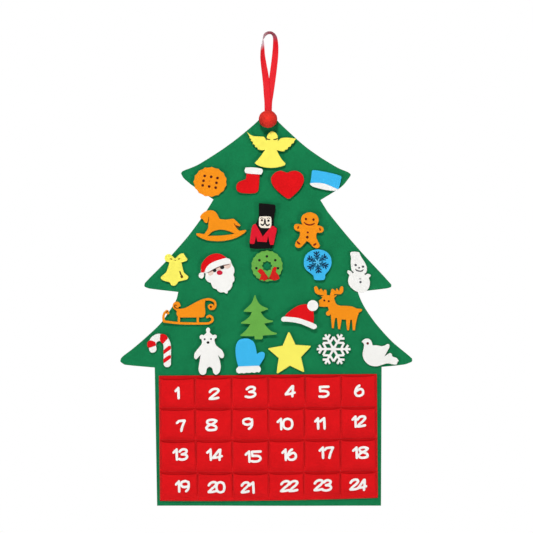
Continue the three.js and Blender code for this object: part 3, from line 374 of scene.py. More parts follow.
def shaped_piece(name, mesh, finish, body, nodes, shape, spacing=0.008):
    """Cuts a plate's faces into a grid, so that it can bow, and bows it."""
    mesh.normal_update()
    for axis, normal in ((0, Vector((1, 0, 0))), (2, Vector((0, 0, 1)))):
        places = [vertex.co[axis] for vertex in mesh.verts]
        at = math.ceil(min(places) / spacing) * spacing
        while at < max(places):
            geometry = [*mesh.verts, *mesh.edges, *mesh.faces]
            bmesh.ops.bisect_plane(mesh, geom=geometry, dist=weld, plane_co=normal * at,
                                   plane_no=normal)
            at += spacing
    flat = {face: abs(face.normal.y) > 0.98 for face in mesh.faces}
    for edge in mesh.edges:
        faces = edge.link_faces
        edge.smooth = not (len(faces) == 2 and flat[faces[0]] != flat[faces[1]])
    for face in mesh.faces:
        face.smooth = True
    for vertex in mesh.verts:
        vertex.co = shape(vertex.co)
    return fitted(name, finished(name, mesh), finish, body, nodes)


def tree_hang(point):
    """The felt hangs almost flat, with slow waves of a millimetre and a loose lower edge."""
    wave = noise.noise(Vector((point.x * 5, point.z * 4, 0.7))) * felt_wave
    loose = max(0.0, (loose_below - point.z) / loose_depth)
    ripple = felt_wave * math.sin(point.x * 14 + 1.1) * min(loose, 1.0)
    return Vector((point.x, point.y - ripple - wave * 0.6, point.z))


green_felt = felt_finish("green_felt", (18, 122, 74))
tree_rings = cut_outlines("tree_backing")
tree_plate = cut_mesh("felt_tree", [tree_rings], wall_face, tree_felt, edge=0.0007, spread=0.0008)
tree = shaped_piece("felt_tree", tree_plate, green_felt, "panel", ["tree_backing"], tree_hang, 0.02)

# Red pocket field
# A red felt rectangle is sewn to the foot of the tree, turned by half a degree. It is dyed darker
# than the strips, as painted shade in the gaps between the rows. Four strips are sewn on it, each
# along its foot, its ends and five seams, so that every strip is a row of six pockets. Each strip
# is longer than the field is wide, and its mouths stand open.
field_turn = math.radians(0.5)
field_middle = Vector((-0.0035, 0, -0.8185))
field_half = 0.261
field_front = 0.0037
pocket_felt = 0.002
pocket_depth = 0.0095
shallowest = 0.72
turn_up = 0.045
end_hem = 0.024
mouth_lift = 0.0020
mouth_sag = 0.0036
belly_power = 4.2
pocket_wave = 0.0006
seam_front = 0.0014
sewn_foot = 0.002
foot_hem = 0.0042
lowest_hem = 0.0012
mouth_drops = [
    (-0.0085, -0.0065, -0.0042), (-0.0815, -0.083, -0.0825), (-0.1582, -0.1597, -0.158),
    (-0.2345, -0.2375, -0.2362), (-0.2993, -0.3008, -0.2965)]
seam_places = [
    (-0.261, -0.1755, -0.0868, 0.0008, 0.0890, 0.1755, 0.261),
    (-0.261, -0.1752, -0.0872, -0.0002, 0.0868, 0.1740, 0.261),
    (-0.261, -0.1735, -0.0870, 0.0006, 0.0862, 0.1722, 0.261),
    (-0.261, -0.1705, -0.0862, 0.0004, 0.0838, 0.1716, 0.261)]


def steps(count):
    """Even shares of a way, from 0 to 1."""
    return [step / count for step in range(count + 1)]


def on_field(across, y, up):
    """A place of the turned field, in the calendar's frame."""
    cos, sin = math.cos(field_turn), math.sin(field_turn)
    x, z = across * cos - up * sin, up * cos + across * sin
    return Vector((field_middle.x + x, y, field_middle.z + z))


def field_place(point):
    """Where a point of the calendar lies on the turned field."""
    cos, sin = math.cos(field_turn), math.sin(field_turn)
    x, z = point.x - field_middle.x, point.z - field_middle.z
    return x * cos + z * sin, z * cos - x * sin


def line_drop(line, across):
    """The height of a mouth or a foot, from its heights at the left, the middle and the right."""
    left, middle, right = mouth_drops[line]
    share = across / field_half
    return middle + (right - left) / 2 * share + ((left + right) / 2 - middle) * share * share


def pocket_share(row, across):
    """The pocket that a place of a strip belongs to, and its share of the way across it."""
    seams = seam_places[row]
    pocket = min(max(int(np.searchsorted(seams, across, "right")) - 1, 0), 5)
    return pocket, (across - seams[pocket]) / (seams[pocket + 1] - seams[pocket])


def stand_off(row, across):
    """How far the felt stands off the field at a mouth, and how much of that is reached. It
    turns up sharply beside a seam, and a little later at a strip's ends."""
    pocket, share = pocket_share(row, across)
    aside = min(share - end_hem * (pocket == 0), 1 - share - end_hem * (pocket == 5))
    rise = min(max(aside / turn_up, 0.0), 1.0)
    varied = math.sin(row * 2.3 + pocket * 1.9) ** 2
    depth = pocket_depth * (shallowest + (1 - shallowest) * varied)
    return depth * (1 - (1 - rise) ** 1.5), rise


def mouth_height(row, across):
    """The height of a mouth: it is caught up at the seams and sags between them."""
    share = pocket_share(row, across)[1]
    return line_drop(row, across) + mouth_lift - mouth_sag * (1 - (2 * share - 1) ** 4)


def foot_height(row, across):
    """The height at which a strip begins, a hem above the line of its foot."""
    return line_drop(row + 1, across) + (foot_hem if row < 3 else lowest_hem)


def pocket_front(row, across, up):
    """How far forward the front of a strip lies."""
    depth, rise = stand_off(row, across)
    start = line_drop(row + 1, across) + foot_hem + sewn_foot
    climb = min(max((up - start) / (mouth_height(row, across) - start), 0.0), 1.0)
    belly = 1 - (1 - climb) ** belly_power
    waves = pocket_wave * noise.noise(Vector((across * 26, up * 22, row * 3.1)))
    return seam_front - depth * belly - waves * rise * min(climb * 6, 1)


def closed_mesh(name, verts, faces):
    """A closed skin, whose faces all look outward and are smooth."""
    rough = bpy.data.meshes.new("rough_" + name)
    rough.from_pydata([tuple(vert) for vert in verts], [], faces)
    skin = bmesh.new()
    skin.from_mesh(rough)
    bpy.data.meshes.remove(rough)
    bmesh.ops.recalc_face_normals(skin, faces=skin.faces)
    for face in skin.faces:
        face.smooth = True
    return finished(name, skin)


def pocket_cloth(name, fronts, finish, node):
    """A closed sheet of felt from a grid of points on its front, with rounded edges."""
    fronts = np.array(fronts, float)
    rows, columns = fronts.shape[:2]
    rear = np.cross(np.gradient(fronts, axis=0), np.gradient(fronts, axis=1))
    rear = rear / np.linalg.norm(rear, axis=2, keepdims=True) + np.array([0, 0.35, 0])
    backs = fronts + rear / np.linalg.norm(rear, axis=2, keepdims=True) * pocket_felt
    verts = [*fronts.reshape(-1, 3), *backs.reshape(-1, 3)]
    faces = []
    behind = rows * columns
    order = np.arange(behind).reshape(rows, columns)
    for a in order[:-1, :-1].ravel().tolist():
        quad = (a, a + 1, a + columns + 1, a + columns)
        faces.append(quad)
        faces.append(tuple(behind + corner for corner in reversed(quad)))
    rim = np.concatenate([order[0], order[1:, -1], order[-1, -2::-1], order[-2:0:-1, 0]]).tolist()
    middle = fronts.reshape(-1, 3).mean(0)
    for corner in rim:
        point = (verts[corner] + verts[behind + corner]) / 2
        out = np.sign(point - middle)
        at_end = corner % columns in (0, columns - 1)
        at_edge = corner < columns or corner >= (rows - 1) * columns
        side = np.array([out[0] * at_end, 0, out[2] * at_edge])
        verts.append(point + side * pocket_felt * 0.3)
    for index, corner in enumerate(rim):
        after = (index + 1) % len(rim)
        bead, next_bead = 2 * behind + index, 2 * behind + after
        faces.append((corner, bead, next_bead, rim[after]))
        faces.append((bead, behind + corner, behind + rim[after], next_bead))
    return fitted(name, closed_mesh(name, verts, faces), finish, "panel", [node])


def line_length(line):
    return sum((after - place).length for place, after in zip(line, line[1:]))


red_felt = felt_finish("red_felt", (222, 16, 22), 0.08)
# Painted shade: the field is dyed darker than the strips, so that the gaps between the rows and
# above the mouths look shaded.
painted_shade_field_felt = felt_finish("painted_shade_field_felt", (206, 13, 18), 0.08, slot="red_felt")
ground_points = []
for down in steps(40):
    line = []
    for share in steps(72):
        across = (2 * share - 1) * field_half
        top = 0.0002 * math.sin(across * 20)
        line.append(on_field(across, field_front, top + (line_drop(4, across) - top) * down))
    ground_points.append(line)
ground = pocket_cloth("pocket_field", ground_points, painted_shade_field_felt, "pocket_ground")

half_pocket = [0, 0.008, 0.017, 0.026, 0.035, 0.046, 0.06, 0.085, 0.13, 0.19, 0.26, 0.34, 0.42]
whole_pocket = [*half_pocket, 0.5, *[1 - share for share in half_pocket[:0:-1]]]
for row, seams in enumerate(seam_places):
    acrosses = [seam + (after - seam) * share
                for seam, after in zip(seams, seams[1:]) for share in whole_pocket]
    acrosses.append(seams[-1])
    strip_points = []
    for climb in steps(22):
        line = []
        for across in acrosses:
            foot = foot_height(row, across)
            up = foot + (mouth_height(row, across) - foot) * climb
            line.append(on_field(across, pocket_front(row, across, up), up))
        strip_points.append(line)
    lengths = [line_length(line) for line in strip_points]
    heights = [line_length(line) for line in list(zip(*strip_points))[::6]]
    strip = pocket_cloth(f"pocket_row_{row + 1}", strip_points, red_felt, f"pocket_strip_{row + 1}")

# Sewing thread
# Red thread holds the strips to the field: a row of short stitches up every seam and both
# ends, and one along each foot. At the rear it shows where it holds the field, the ball and
# the ribbon to the tree.
thread_radius = 0.00035
stitch_length = 0.0030
stitch_pitch = 0.0040
stitch_inset = 0.0016
stitch_spare = 0.001
foot_stitch = 0.0012
stitch_sides = 5
stitch_rings = [(-0.5, -0.4, 0.5), (-0.3, 0.6, 1.0), (0.0, 0.9, 1.0), (0.3, 0.6, 1.0),
                (0.5, -0.4, 0.5)]


def tube_faces(first, rings, around):
    """The faces of a closed tube, whose points are numbered ring by ring from the first on."""
    faces = []
    for ring in range(first, first + (rings - 1) * around, around):
        for side in range(around):
            a, b = ring + side, ring + (side + 1) % around
            faces.append((a, b, b + around, a + around))
    faces.append(tuple(range(first + around - 1, first - 1, -1)))
    faces.append(tuple(range(first + (rings - 1) * around, first + rings * around)))
    return faces


def stitches(name, runs, outward):
    """Rows of stitches: each is a short bent thread that dips into the felt at both ends, and
    stands out to the front (-1) or to the rear (1)."""
    verts, faces = [], []
    for run in runs:
        lengths = [line_length(part) for part in zip(run, run[1:])]
        total = sum(lengths)
        count = max(int(total / stitch_pitch), 1)
        for number in range(count):
            reach = (number + 0.5) * total / count
            index = 0
            while index < len(lengths) - 1 and reach > lengths[index]:
                reach -= lengths[index]
                index += 1
            along = (run[index + 1] - run[index]).normalized()
            centre = run[index] + along * reach
            beside = along.cross(Vector((0, 1, 0))).normalized()
            faces += tube_faces(len(verts), len(stitch_rings), stitch_sides)
            for offset, height, width in stitch_rings:
                out = Vector((0, outward * height * thread_radius, 0))
                middle = centre + along * offset * stitch_length + out
                for cos, sin in circle(stitch_sides):
                    spoke = beside * cos + Vector((0, -1, 0)) * sin
                    verts.append(middle + spoke * thread_radius * width)
    mesh = bpy.data.meshes.new(name)
    mesh.from_pydata([tuple(vert) for vert in verts], [], faces)
    for polygon in mesh.polygons:
        polygon.use_smooth = True
    fitted(name, mesh, thread, "panel")


thread = Finish("red_thread", "red_felt", Roughness=0.5, Sheen_Weight=0.2, Specular_IOR_Level=0.3)
thread_tone = thread.grain(thread.place, 0.0015)
thread.dye(thread.blend(thread_tone, linear(168, 10, 16), linear(216, 18, 26)))
seam_runs = []
for row, seams in enumerate(seam_places):
    for index, across in enumerate(seams):
        place = across + stitch_inset * ((index == 0) - (index == 6))
        foot = foot_height(row, place) + stitch_spare
        mouth = mouth_height(row, place) - stitch_spare
        ups = [foot + (mouth - foot) * share for share in steps(8)]
        seam_runs.append([on_field(place, pocket_front(row, across, up), up) for up in ups])
    foot_run = []
    for share in steps(60):
        across = (2 * share - 1) * (field_half - 2 * stitch_spare)
        foot_run.append(on_field(across, seam_front, foot_height(row, across) + foot_stitch))
    seam_runs.append(foot_run)
stitches("pocket_stitches", seam_runs, -1)


def rear_run(start, end, count):
    """A straight run of thread on the rear of the tree, which hangs with it."""
    return [tree_hang(start.lerp(end, share)) for share in steps(count)]


corners = [on_field(across, wall_face, up) for across, up in (
    (-0.2585, -0.003), (0.2585, -0.003), (0.2585, -0.293), (-0.2585, -0.293))]
rear_runs = [rear_run(*side, 30) for side in zip(corners, corners[1:] + corners[:1])]
for left, left_up, right, right_up in (
        (-0.012, -0.201, 0.006, -0.211), (0.006, -0.201, -0.012, -0.211),
        (-0.0095, -0.189, 0.0033, -0.189)):
    start, end = Vector((left, wall_face, left_up)), Vector((right, wall_face, right_up))
    rear_runs.append(rear_run(start, end, 4))
stitches("rear_stitches", rear_runs, 1)

# Numbers
# Each pocket has its number in white felt, two millimetres thick, cut in the round strokes
# of a brush and glued flat on the face of the pocket, so that it follows its belly.
white_felt = felt_finish("white_felt", (245, 244, 240), 0.05)
bright_felt = felt_finish("bright_white_felt", (255, 250, 246), 0.04, slot="white_felt")
number_felt = 0.0020
number_sunk = 0.0002


def on_pocket(row):
    """Lays a number on the pockets of a row."""
    def shape(point):
        front = pocket_front(row, *field_place(point))
        return Vector((point.x, front - number_sunk + point.y, point.z))
    return shape


for number in range(1, 25):
    node = f"number_{number:02d}"
    name = "felt_" + node
    plate = cut_mesh(name, [cut_outlines(node, 0.0008)], 0, number_felt, corner=78, edge=0.0003)
    shaped_piece(name, plate, bright_felt, "panel", [node], on_pocket((number - 1) // 6), 0.006)

# Satin ribbon
# A red satin ribbon, 16 mm wide, is folded into a loop. It turns edge-on over the hook, where
# its top is painted a dull mauve as shade, and comes down in two strands whose ends are sewn to the
# tree.
ribbon_half = 0.008
ribbon_thick = 0.0006
ribbon_drop = 0.181
loop_width = 0.034
ribbon_stations = [
    (-0.085, -1.22, 0), (-0.095, -1.1, 0), (-0.103, -1, 0), (-0.114, -0.9, 0),
    (-0.155, -0.809, 0), (-0.21, -0.663, 6), (-0.294, -0.53, 17), (-0.386, -0.424, 30),
    (-0.48, -0.292, 45), (-0.485, -0.159, 64), (-0.40, -0.055, 97), (-0.22, -0.012, 101),
    (0.02, 0, 90), (0.24, -0.012, 78), (0.41, -0.055, 56), (0.452, -0.159, 36),
    (0.412, -0.292, 21), (0.334, -0.424, 14), (0.262, -0.53, 9), (0.165, -0.663, 4),
    (0.05, -0.809, 0), (-0.025, -0.9, 0), (-0.05, -1, 0), (-0.055, -1.1, 0), (-0.06, -1.22, 0)]
ribbon_lean = 0.66
strand_depths = (0.0045, 0.0054)
hook_tip = math.radians(15)
hook_lift = 0.0033
ribbon_rest = 0.0003
ribbon_cup = 0.0018
selvedge_swell = 1.35
edge_thin = 0.45


def eased(share):
    share = min(max(share, 0.0), 1.0)
    return share * share * (3 - 2 * share)


def through(points, share):
    """A smooth line through its points, at a share of the way along."""
    spans = len(points) - 1
    at = min(share * spans, spans - 0.000001)
    index = int(at)
    part = at - index
    b, c = points[index], points[index + 1]
    a = points[index - 1] if index > 0 else 2 * b - c
    d = points[index + 2] if index + 2 < len(points) else 2 * c - b
    return 0.5 * (2 * b + (c - a) * part + (2 * a - 5 * b + 4 * c - d) * part ** 2
                  + (3 * b - a - 3 * c + d) * part ** 3)


ribbon_line = []
for index, (across, down, degrees) in enumerate(ribbon_stations):
    turn = math.radians(degrees)
    lean = strand_depths[index > 12] * eased(-down / ribbon_lean)
    lift = ribbon_rest + hook_lift * math.sin(turn) ** 4
    ribbon_line.append(np.array([across * loop_width, lean, down * ribbon_drop + lift, turn]))
ribbon_rings = 150
ribbon_steps = 12
ribbon_points = [through(ribbon_line, share) for share in steps(ribbon_rings)]
verts = []
ribbon_length = 0
for ring, point in enumerate(ribbon_points):
    before = ribbon_points[max(ring - 1, 0)]
    after = ribbon_points[min(ring + 1, ribbon_rings)]
    ribbon_length += np.linalg.norm(point[:3] - before[:3])
    along = Vector(after[:3] - before[:3]).normalized()
    cos, sin = math.cos(point[3]), math.sin(point[3])
    tip = hook_tip * sin ** 4
    across = Vector((cos, -sin * math.cos(tip), sin * math.sin(tip)))
    across = (across - along * across.dot(along)).normalized()
    face = along.cross(across)
    for side in (1, -1):
        for step in steps(ribbon_steps):
            share = (2 * step - 1) * side
            swell = 1.0
            if abs(share) > 0.8:
                swell = selvedge_swell if abs(share) < 0.99 else edge_thin
            cup = ribbon_cup * sin ** 2 * (share * share - 0.4)
            lift = face * (side * ribbon_thick / 2 * swell + cup)
            verts.append(Vector(point[:3]) + across * share * ribbon_half + lift)
ribbon_faces = tube_faces(0, ribbon_rings + 1, 2 * (ribbon_steps + 1))
ribbon_mesh = closed_mesh("satin_ribbon", verts, ribbon_faces)

satin = Finish("red_satin", Roughness=0.48, Sheen_Weight=0.03, Sheen_Roughness=0.35,
               Specular_IOR_Level=0.22, Anisotropic=0.3)
slub = satin.drawn_out(0.0012, 0.0012, 0.012)
weave = satin.node("ShaderNodeTexWave", {"wave_type": "BANDS", "bands_direction": "Z"},
                   {"Vector": satin.place, "Scale": 420.0, "Distortion": 0.6, "Detail": 1.0})
sideways, height = (satin.node("ShaderNodeSeparateXYZ", {}, {"Vector": satin.place}, axis)
                    for axis in (0, 2))
# Painted shade: near the top of the loop the dye gives way to a dull mauve, pale towards the left
# and dark towards the right.
aside = satin.smooth_step(sideways, -0.018, 0.004)
painted_shade_share = satin.smooth_step(height - aside * 0.018 + (slub - 0.5) * 0.006, -0.041, -0.022)
painted_shade_mauve = satin.blend(aside, linear(226, 190, 198), linear(172, 74, 92))
dyed = satin.blend(slub * 0.8 + weave * 0.2, linear(212, 12, 24), linear(234, 20, 36))
satin.dye(satin.blend(painted_shade_share, dyed, painted_shade_mauve))
satin.relief(0.25, 0.0002, weave * 0.6 + slub * 0.4)
ribbon_mesh.materials.append(satin.material)
ribbon = placed("satin_ribbon", ribbon_mesh)
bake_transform(ribbon)
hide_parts("ribbon_loop", "ribbon_tails")

# Felt ball
# A ball of red wool felt, 44 mm across, covers the ribbon's stitching. It is rolled by hand,
# so that it is uneven and a little wide, and its back is pressed flat where it is sewn on.
ball_middle = Vector((-0.0031, -0.016125, -0.206))
ball_radius = 0.02225
ball_back = 0.0041
ball_edge = 0.0012
ball_press = 0.94
wool = bmesh.new()
bmesh.ops.create_icosphere(wool, subdivisions=5, radius=1.0)
for vertex in wool.verts:
    way = vertex.co.normalized()
    lumps = noise.noise(way * 2.6 + Vector((3, 1, 2))) * 0.018 + noise.noise(way * 9.0) * 0.006
    place = ball_middle + way * ball_radius * (1.0 + lumps)
    past = place.y - ball_back + ball_edge
    if past > 0:
        place.y = ball_back - ball_edge + ball_edge * math.tanh(past / ball_edge)
    place.z = ball_middle.z + (place.z - ball_middle.z) * ball_press
    vertex.co = place
for face in wool.faces:
    face.smooth = True
ball_felt = felt_finish("ball_felt", (234, 52, 40), 0.14, 1.6)
ball = fitted("wool_ball", finished("wool_ball", wool), ball_felt, "panel", ["treetop_ball"])

# Ornament felts
# The ornaments are cut from 3 mm felt in plain colours. Behind each is a round pad of hook
# tape that grips the tree, and a felt bows a little off its pad. Thin second felts and printed
# marks, some of them painted shade, lie on some of them, and follow the same bow.
yellow_felt = felt_finish("yellow_felt", (252, 240, 100), 0.04)
orange_felt = felt_finish("orange_felt", (246, 146, 24), 0.05)
blue_felt = felt_finish("blue_felt", (62, 184, 238), 0.05)
leaf_felt = felt_finish("leaf_felt", (106, 174, 74), 0.07)
black_felt = felt_finish("black_felt", (15, 12, 12), 0.10)
hook_tape = Finish("hook_tape", "white_felt", Roughness=0.55, Specular_IOR_Level=0.4)
tape_tone = hook_tape.grain(hook_tape.place, 0.0009)
hook_tape.dye(hook_tape.blend(tape_tone, linear(176, 176, 172), linear(226, 226, 222)))
ornament_felt = 0.003
ornament_bow = 0.0042
thin_felt = 0.001
print_thick = 0.0003
pad_radius = 0.008
hook_height = 0.0011
hook_pitch = 0.0022
pad_sides = 28
pad_rim = 0.0009
dot_sides = 14


def printed(name, colour, slot="black_felt"):
    """A flat mark on felt, print and on some pieces painted shade: flat ink that lets the nap show
    a little.
    """
    finish = Finish(name, slot, Roughness=0.8, Specular_IOR_Level=0.2)
    full = linear(*colour)
    nap = finish.grain(finish.place, 0.0012, 3.0)
    finish.dye(finish.blend(nap, (*(part * 0.8 for part in full[:3]), 1.0), full))
    finish.relief(0.3, 0.0004, nap)
    return finish


def patch(*shares):
    """A cut outline, by its corners as shares of an ornament's box from its lower left."""
    def outline(ornament):
        return [ornament.at(*share) for share in shares]
    return outline


def dot(across, up, wide, high=None):
    """A round mark, by its half width and half height as shares of an ornament's width."""
    def outline(ornament):
        x, z = ornament.at(across, up)
        half_width, half_height = wide * ornament.size[0], (high or wide) * ornament.size[0]
        return [(x + cos * half_width, z + sin * half_height) for cos, sin in circle(dot_sides)]
    return outline


def stroke(width, *shares, taper=0.5):
    """A brush stroke through some places, narrower at its ends, by its width in metres."""
    def outline(ornament):
        line = [np.array(ornament.at(*share)) for share in shares]
        count = 5 * (len(line) - 1) if len(line) > 2 else 4
        points = [through(line, share) for share in steps(count)]
        left, right = [], []
        for index, point in enumerate(points):
            way = points[min(index + 1, count)] - points[max(index - 1, 0)]
            way = way / max(np.linalg.norm(way), 0.000001)
            share = index / count
            half = width / 2 * (taper + (1 - taper) * min(1, 4 * share, 4 * (1 - share)))
            aside = np.array([-way[1], way[0]]) * half
            left.append(tuple(point + aside))
            right.append(tuple(point - aside))
        return left + right[::-1]
    return outline


class Ornament:
    """One ornament: its cut felt and pad, and the box of the tree in which its marks lie."""

    def __init__(self, body, finish, across, up, width, height, corner=58, spread=0.0001,
                 stretch=(1, 1)):
        node = body + "_ornament"
        self.body = body
        self.middle = (tree_middle + (across - 0.5) * tree_width,
                       tree_top + (up - 1) * tree_height)
        self.size = (width, height)
        solid = np.array([vertex.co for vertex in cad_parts[node].data.vertices])
        self.front = float(solid[:, 1].min())
        rear = float(solid[:, 1].max())
        pad = solid[solid[:, 1] > rear - 0.0001]
        self.pad = [float(pad[:, axis].min() + pad[:, axis].max()) / 2 for axis in (0, 2)]
        self.reach = max(math.hypot(x - self.pad[0], z - self.pad[1]) for x, _, z in solid)
        self.turn = random.Random(body).uniform(0, math.pi)
        x, z = self.middle
        rings = [[(x + (px - x) * stretch[0], z + (pz - z) * stretch[1]) for px, pz in ring]
                 for ring in cut_outlines(node)]
        name = body + "_felt"
        felt_rear = self.front + ornament_felt
        plate = cut_mesh(name, [rings], felt_rear, ornament_felt, corner, spread=spread)
        shaped_piece(name, plate, finish, body, [node], self.bowed)
        self.hook_pad(felt_rear, rear)

    def bowed(self, point):
        x, z = (point.x - self.pad[0]) / self.reach, (point.z - self.pad[1]) / self.reach
        away = x * math.cos(self.turn) + z * math.sin(self.turn)
        lift = ornament_bow * (0.55 * min(x * x + z * z, 1.2) + 0.45 * away * away)
        return Vector((point.x, point.y - lift, point.z))

    def at(self, across, up):
        """A place in the ornament's box, from its lower left corner, as shares."""
        return (self.middle[0] + (across - 0.5) * self.size[0],
                self.middle[1] + (up - 0.5) * self.size[1])

    def layer(self, name, finish, groups, thickness, above, corner=38, edge=None, nodes=()):
        """Felts or marks that lie some way above the front of the ornament."""
        edge = edge or min(0.0004, thickness / 3)
        plate = cut_mesh(name, groups, self.front - above, thickness, corner, edge)
        shaped_piece(name, plate, finish, self.body, nodes, self.bowed)

    def second_felt(self, node, corner=38):
        """A white felt with a solid of its own that is glued on."""
        outlines = [cut_outlines(node)]
        self.layer(node + "_felt", white_felt, outlines, 0.0015, 0.0003, corner, nodes=[node])

    def glued(self, name, finish, *outlines, thickness=thin_felt, above=0.00005, corner=38):
        """Thin felts that are glued on, each cut to its own outline."""
        groups = [[outline(self)] for outline in outlines]
        self.layer(name, finish, groups, thickness, above, corner)

    def marks(self, name, finish, *outlines, above=0.0):
        """Printed marks, some of them painted shade, each with its own outline."""
        groups = [[outline(self)] for outline in outlines]
        self.layer(name, finish, groups, print_thick, above, 60, 0.0001)

    def hook_pad(self, felt_rear, rear):
        """A disc of hook tape: a woven base behind the felt, and rows of plastic hooks."""
        mesh = bmesh.new()
        base = rear - hook_height

        def ring(y, places):
            return [mesh.verts.new((self.pad[0] + x, y, self.pad[1] + z)) for x, z in places]

        def disc(y, radius):
            return ring(y, [(cos * radius, sin * radius) for cos, sin in circle(pad_sides)])

        def box(y, x, z, half, low, high):
            return ring(y, [(x - half, z + low), (x + half, z + low),
                            (x + half, z + high), (x - half, z + high)])

        def join(*rings):
            """Joins rings, one behind the other, and closes both ends."""
            for near, far in zip(rings, rings[1:]):
                for side in range(len(near)):
                    after = (side + 1) % len(near)
                    mesh.faces.new((near[side], near[after], far[after], far[side]))
            mesh.faces.new(rings[0])
            mesh.faces.new(rings[-1])

        join(disc(felt_rear, pad_radius), disc(base - 0.0002, pad_radius),
             disc(base, pad_radius - 0.0003))
        count = int(pad_radius / hook_pitch)
        for column in range(-count, count + 1):
            for line in range(-count, count + 1):
                x, z = (column + 0.5 * (line % 2)) * hook_pitch, line * hook_pitch
                if math.hypot(x, z) <= pad_radius - pad_rim:
                    join(box(base - 0.0001, x, z, 0.0003, -0.0002, 0.0002),
                         box(rear - 0.0001, x, z, 0.00025, -0.0006, -0.0001))
        bmesh.ops.recalc_face_normals(mesh, faces=mesh.faces)
        name = self.body + "_hook_pad"
        fitted(name, finished(name, mesh), hook_tape, self.body)


# Angel
# Yellow felt: a head with long hair, feathered wings and a bell-shaped gown. Two slits between
# the hair and the wings show as dark printed strokes, painted shade of the slits.
# Painted shade: the dark of the two slits.
slit_painted_shade = printed("slit_painted_shade", (70, 60, 14))
angel = Ornament("angel", yellow_felt, 0.5175, 0.9, 0.118, 0.09, corner=33)
angel.marks("angel_slit_painted_shade", slit_painted_shade,
            stroke(0.0026, (0.382, 0.79), (0.425, 0.765), (0.475, 0.757), taper=0.4),
            stroke(0.0026, (0.535, 0.755), (0.585, 0.763), (0.632, 0.79), taper=0.4))

# Cookie
# A round biscuit in orange felt with a scalloped rim, eight holes and a small crease. The holes
# are printed as dark discs: their burnt edges, and painted shade in them.
# Brown print, which is also painted shade in the cookie's holes and in the sleigh's scrolls.
brown_print_and_painted_shade = printed("brown_print_and_painted_shade", (84, 10, 0))
crease_print = printed("cookie_crease", (214, 118, 22), slot="orange_felt")
cookie = Ornament("cookie", orange_felt, 0.3075, 0.8177, 0.080, 0.072)
cookie.marks("cookie_holes", brown_print_and_painted_shade, *[dot(across, up, 0.039) for across, up in (
    (0.335, 0.70), (0.53, 0.67), (0.72, 0.63), (0.30, 0.54), (0.69, 0.47), (0.275, 0.385),
    (0.47, 0.35), (0.665, 0.31))])
cookie.marks("cookie_crease", crease_print, dot(0.48, 0.53, 0.02, 0.014))

# Stocking
# A red felt boot with a white felt cuff glued across its top.
stocking = Ornament("stocking", red_felt, 0.4424, 0.8218, 0.064, 0.063)
stocking.second_felt("stocking_cuff", corner=58)

# Heart
# One plain cut of red felt.
Ornament("heart", red_felt, 0.5715, 0.8105, 0.079, 0.067)

# Cap
# A flat blue cap with a thin white crescent for its brim.
cap = Ornament("cap", blue_felt, 0.7034, 0.8206, 0.077, 0.051)
cap.glued("cap_brim", white_felt, patch(
    (0.015, 0.385), (0.17, 0.405), (0.31, 0.395), (0.454, 0.363), (0.596, 0.288), (0.738, 0.19),
    (0.84, 0.12), (0.895, 0.11), (0.85, 0.045), (0.71, 0.03), (0.525, 0.063), (0.383, 0.105),
    (0.24, 0.16), (0.1, 0.225), (0.01, 0.32)))

# Rocking horse
# Orange felt, cut in one with its rocker. The cuts of the jaw and the tail are printed as dark
# rust lines: their burnt edges, and painted shade in the cuts.
# Painted shade in the cuts of the jaw and the tail, with their burnt edges, printed dark rust.
burnt_edge_and_painted_shade = printed("burnt_edge_and_painted_shade", (120, 52, 10))
horse = Ornament("rocking_horse", orange_felt, 0.3449, 0.7074, 0.121, 0.076)
horse.marks("horse_cuts", burnt_edge_and_painted_shade,
            stroke(0.0016, (0.255, 0.77), (0.252, 0.68), (0.235, 0.60)),
            stroke(0.0018, (0.755, 0.575), (0.79, 0.49), (0.845, 0.43)))

# Nutcracker
# A black felt soldier with a tall hat. A red coat with two sleeves and a white face are glued
# on, and the features are printed on the face.
coat_felt = felt_finish("coat_felt", (222, 26, 46), 0.06, slot="red_felt")
face_felt = felt_finish("face_felt", (250, 240, 222), 0.03, slot="white_felt")
ink = printed("black_ink", (22, 16, 16))
grey_brown = printed("grey_brown_print", (84, 62, 52))
nutcracker = Ornament("nutcracker", black_felt, 0.4885, 0.7075, 0.067, 0.115, corner=38)
nutcracker.glued("nutcracker_coat", coat_felt, patch(
    (0.235, 0.535), (0.35, 0.42), (0.49, 0.27), (0.66, 0.39), (0.81, 0.49), (0.88, 0.49),
    (0.985, 0.44), (0.99, 0.41), (0.93, 0.25), (0.875, 0.1), (0.765, 0.095), (0.725, 0.16),
    (0.68, 0.29), (0.635, 0.155), (0.3, 0.165), (0.245, 0.285), (0.205, 0.15), (0.175, 0.115),
    (0.04, 0.12), (0.03, 0.16), (0.06, 0.31), (0.105, 0.46), (0.15, 0.515)))
nutcracker.glued("nutcracker_face", face_felt, patch(
    (0.36, 0.66), (0.355, 0.58), (0.36, 0.50), (0.42, 0.455), (0.56, 0.448), (0.75, 0.45),
    (0.795, 0.5), (0.80, 0.58), (0.79, 0.66), (0.76, 0.685), (0.57, 0.69), (0.385, 0.685)))
nutcracker.marks(
    "nutcracker_features", ink,
    dot(0.695, 0.602, 0.04, 0.042),
    stroke(0.0014, (0.40, 0.648), (0.46, 0.66), (0.52, 0.645)),
    stroke(0.0014, (0.64, 0.645), (0.70, 0.66), (0.76, 0.64)),
    patch((0.555, 0.645), (0.58, 0.645), (0.605, 0.56), (0.57, 0.54), (0.53, 0.56)),
    stroke(0.0035, (0.57, 0.555), (0.53, 0.525), (0.49, 0.508), (0.45, 0.515), (0.415, 0.54),
           taper=0.4),
    stroke(0.0035, (0.572, 0.556), (0.61, 0.52), (0.65, 0.503), (0.70, 0.51), (0.735, 0.535),
           taper=0.4), above=0.0011)
nutcracker.marks("nutcracker_eye", grey_brown, dot(0.46, 0.61, 0.038, 0.04), above=0.0011)

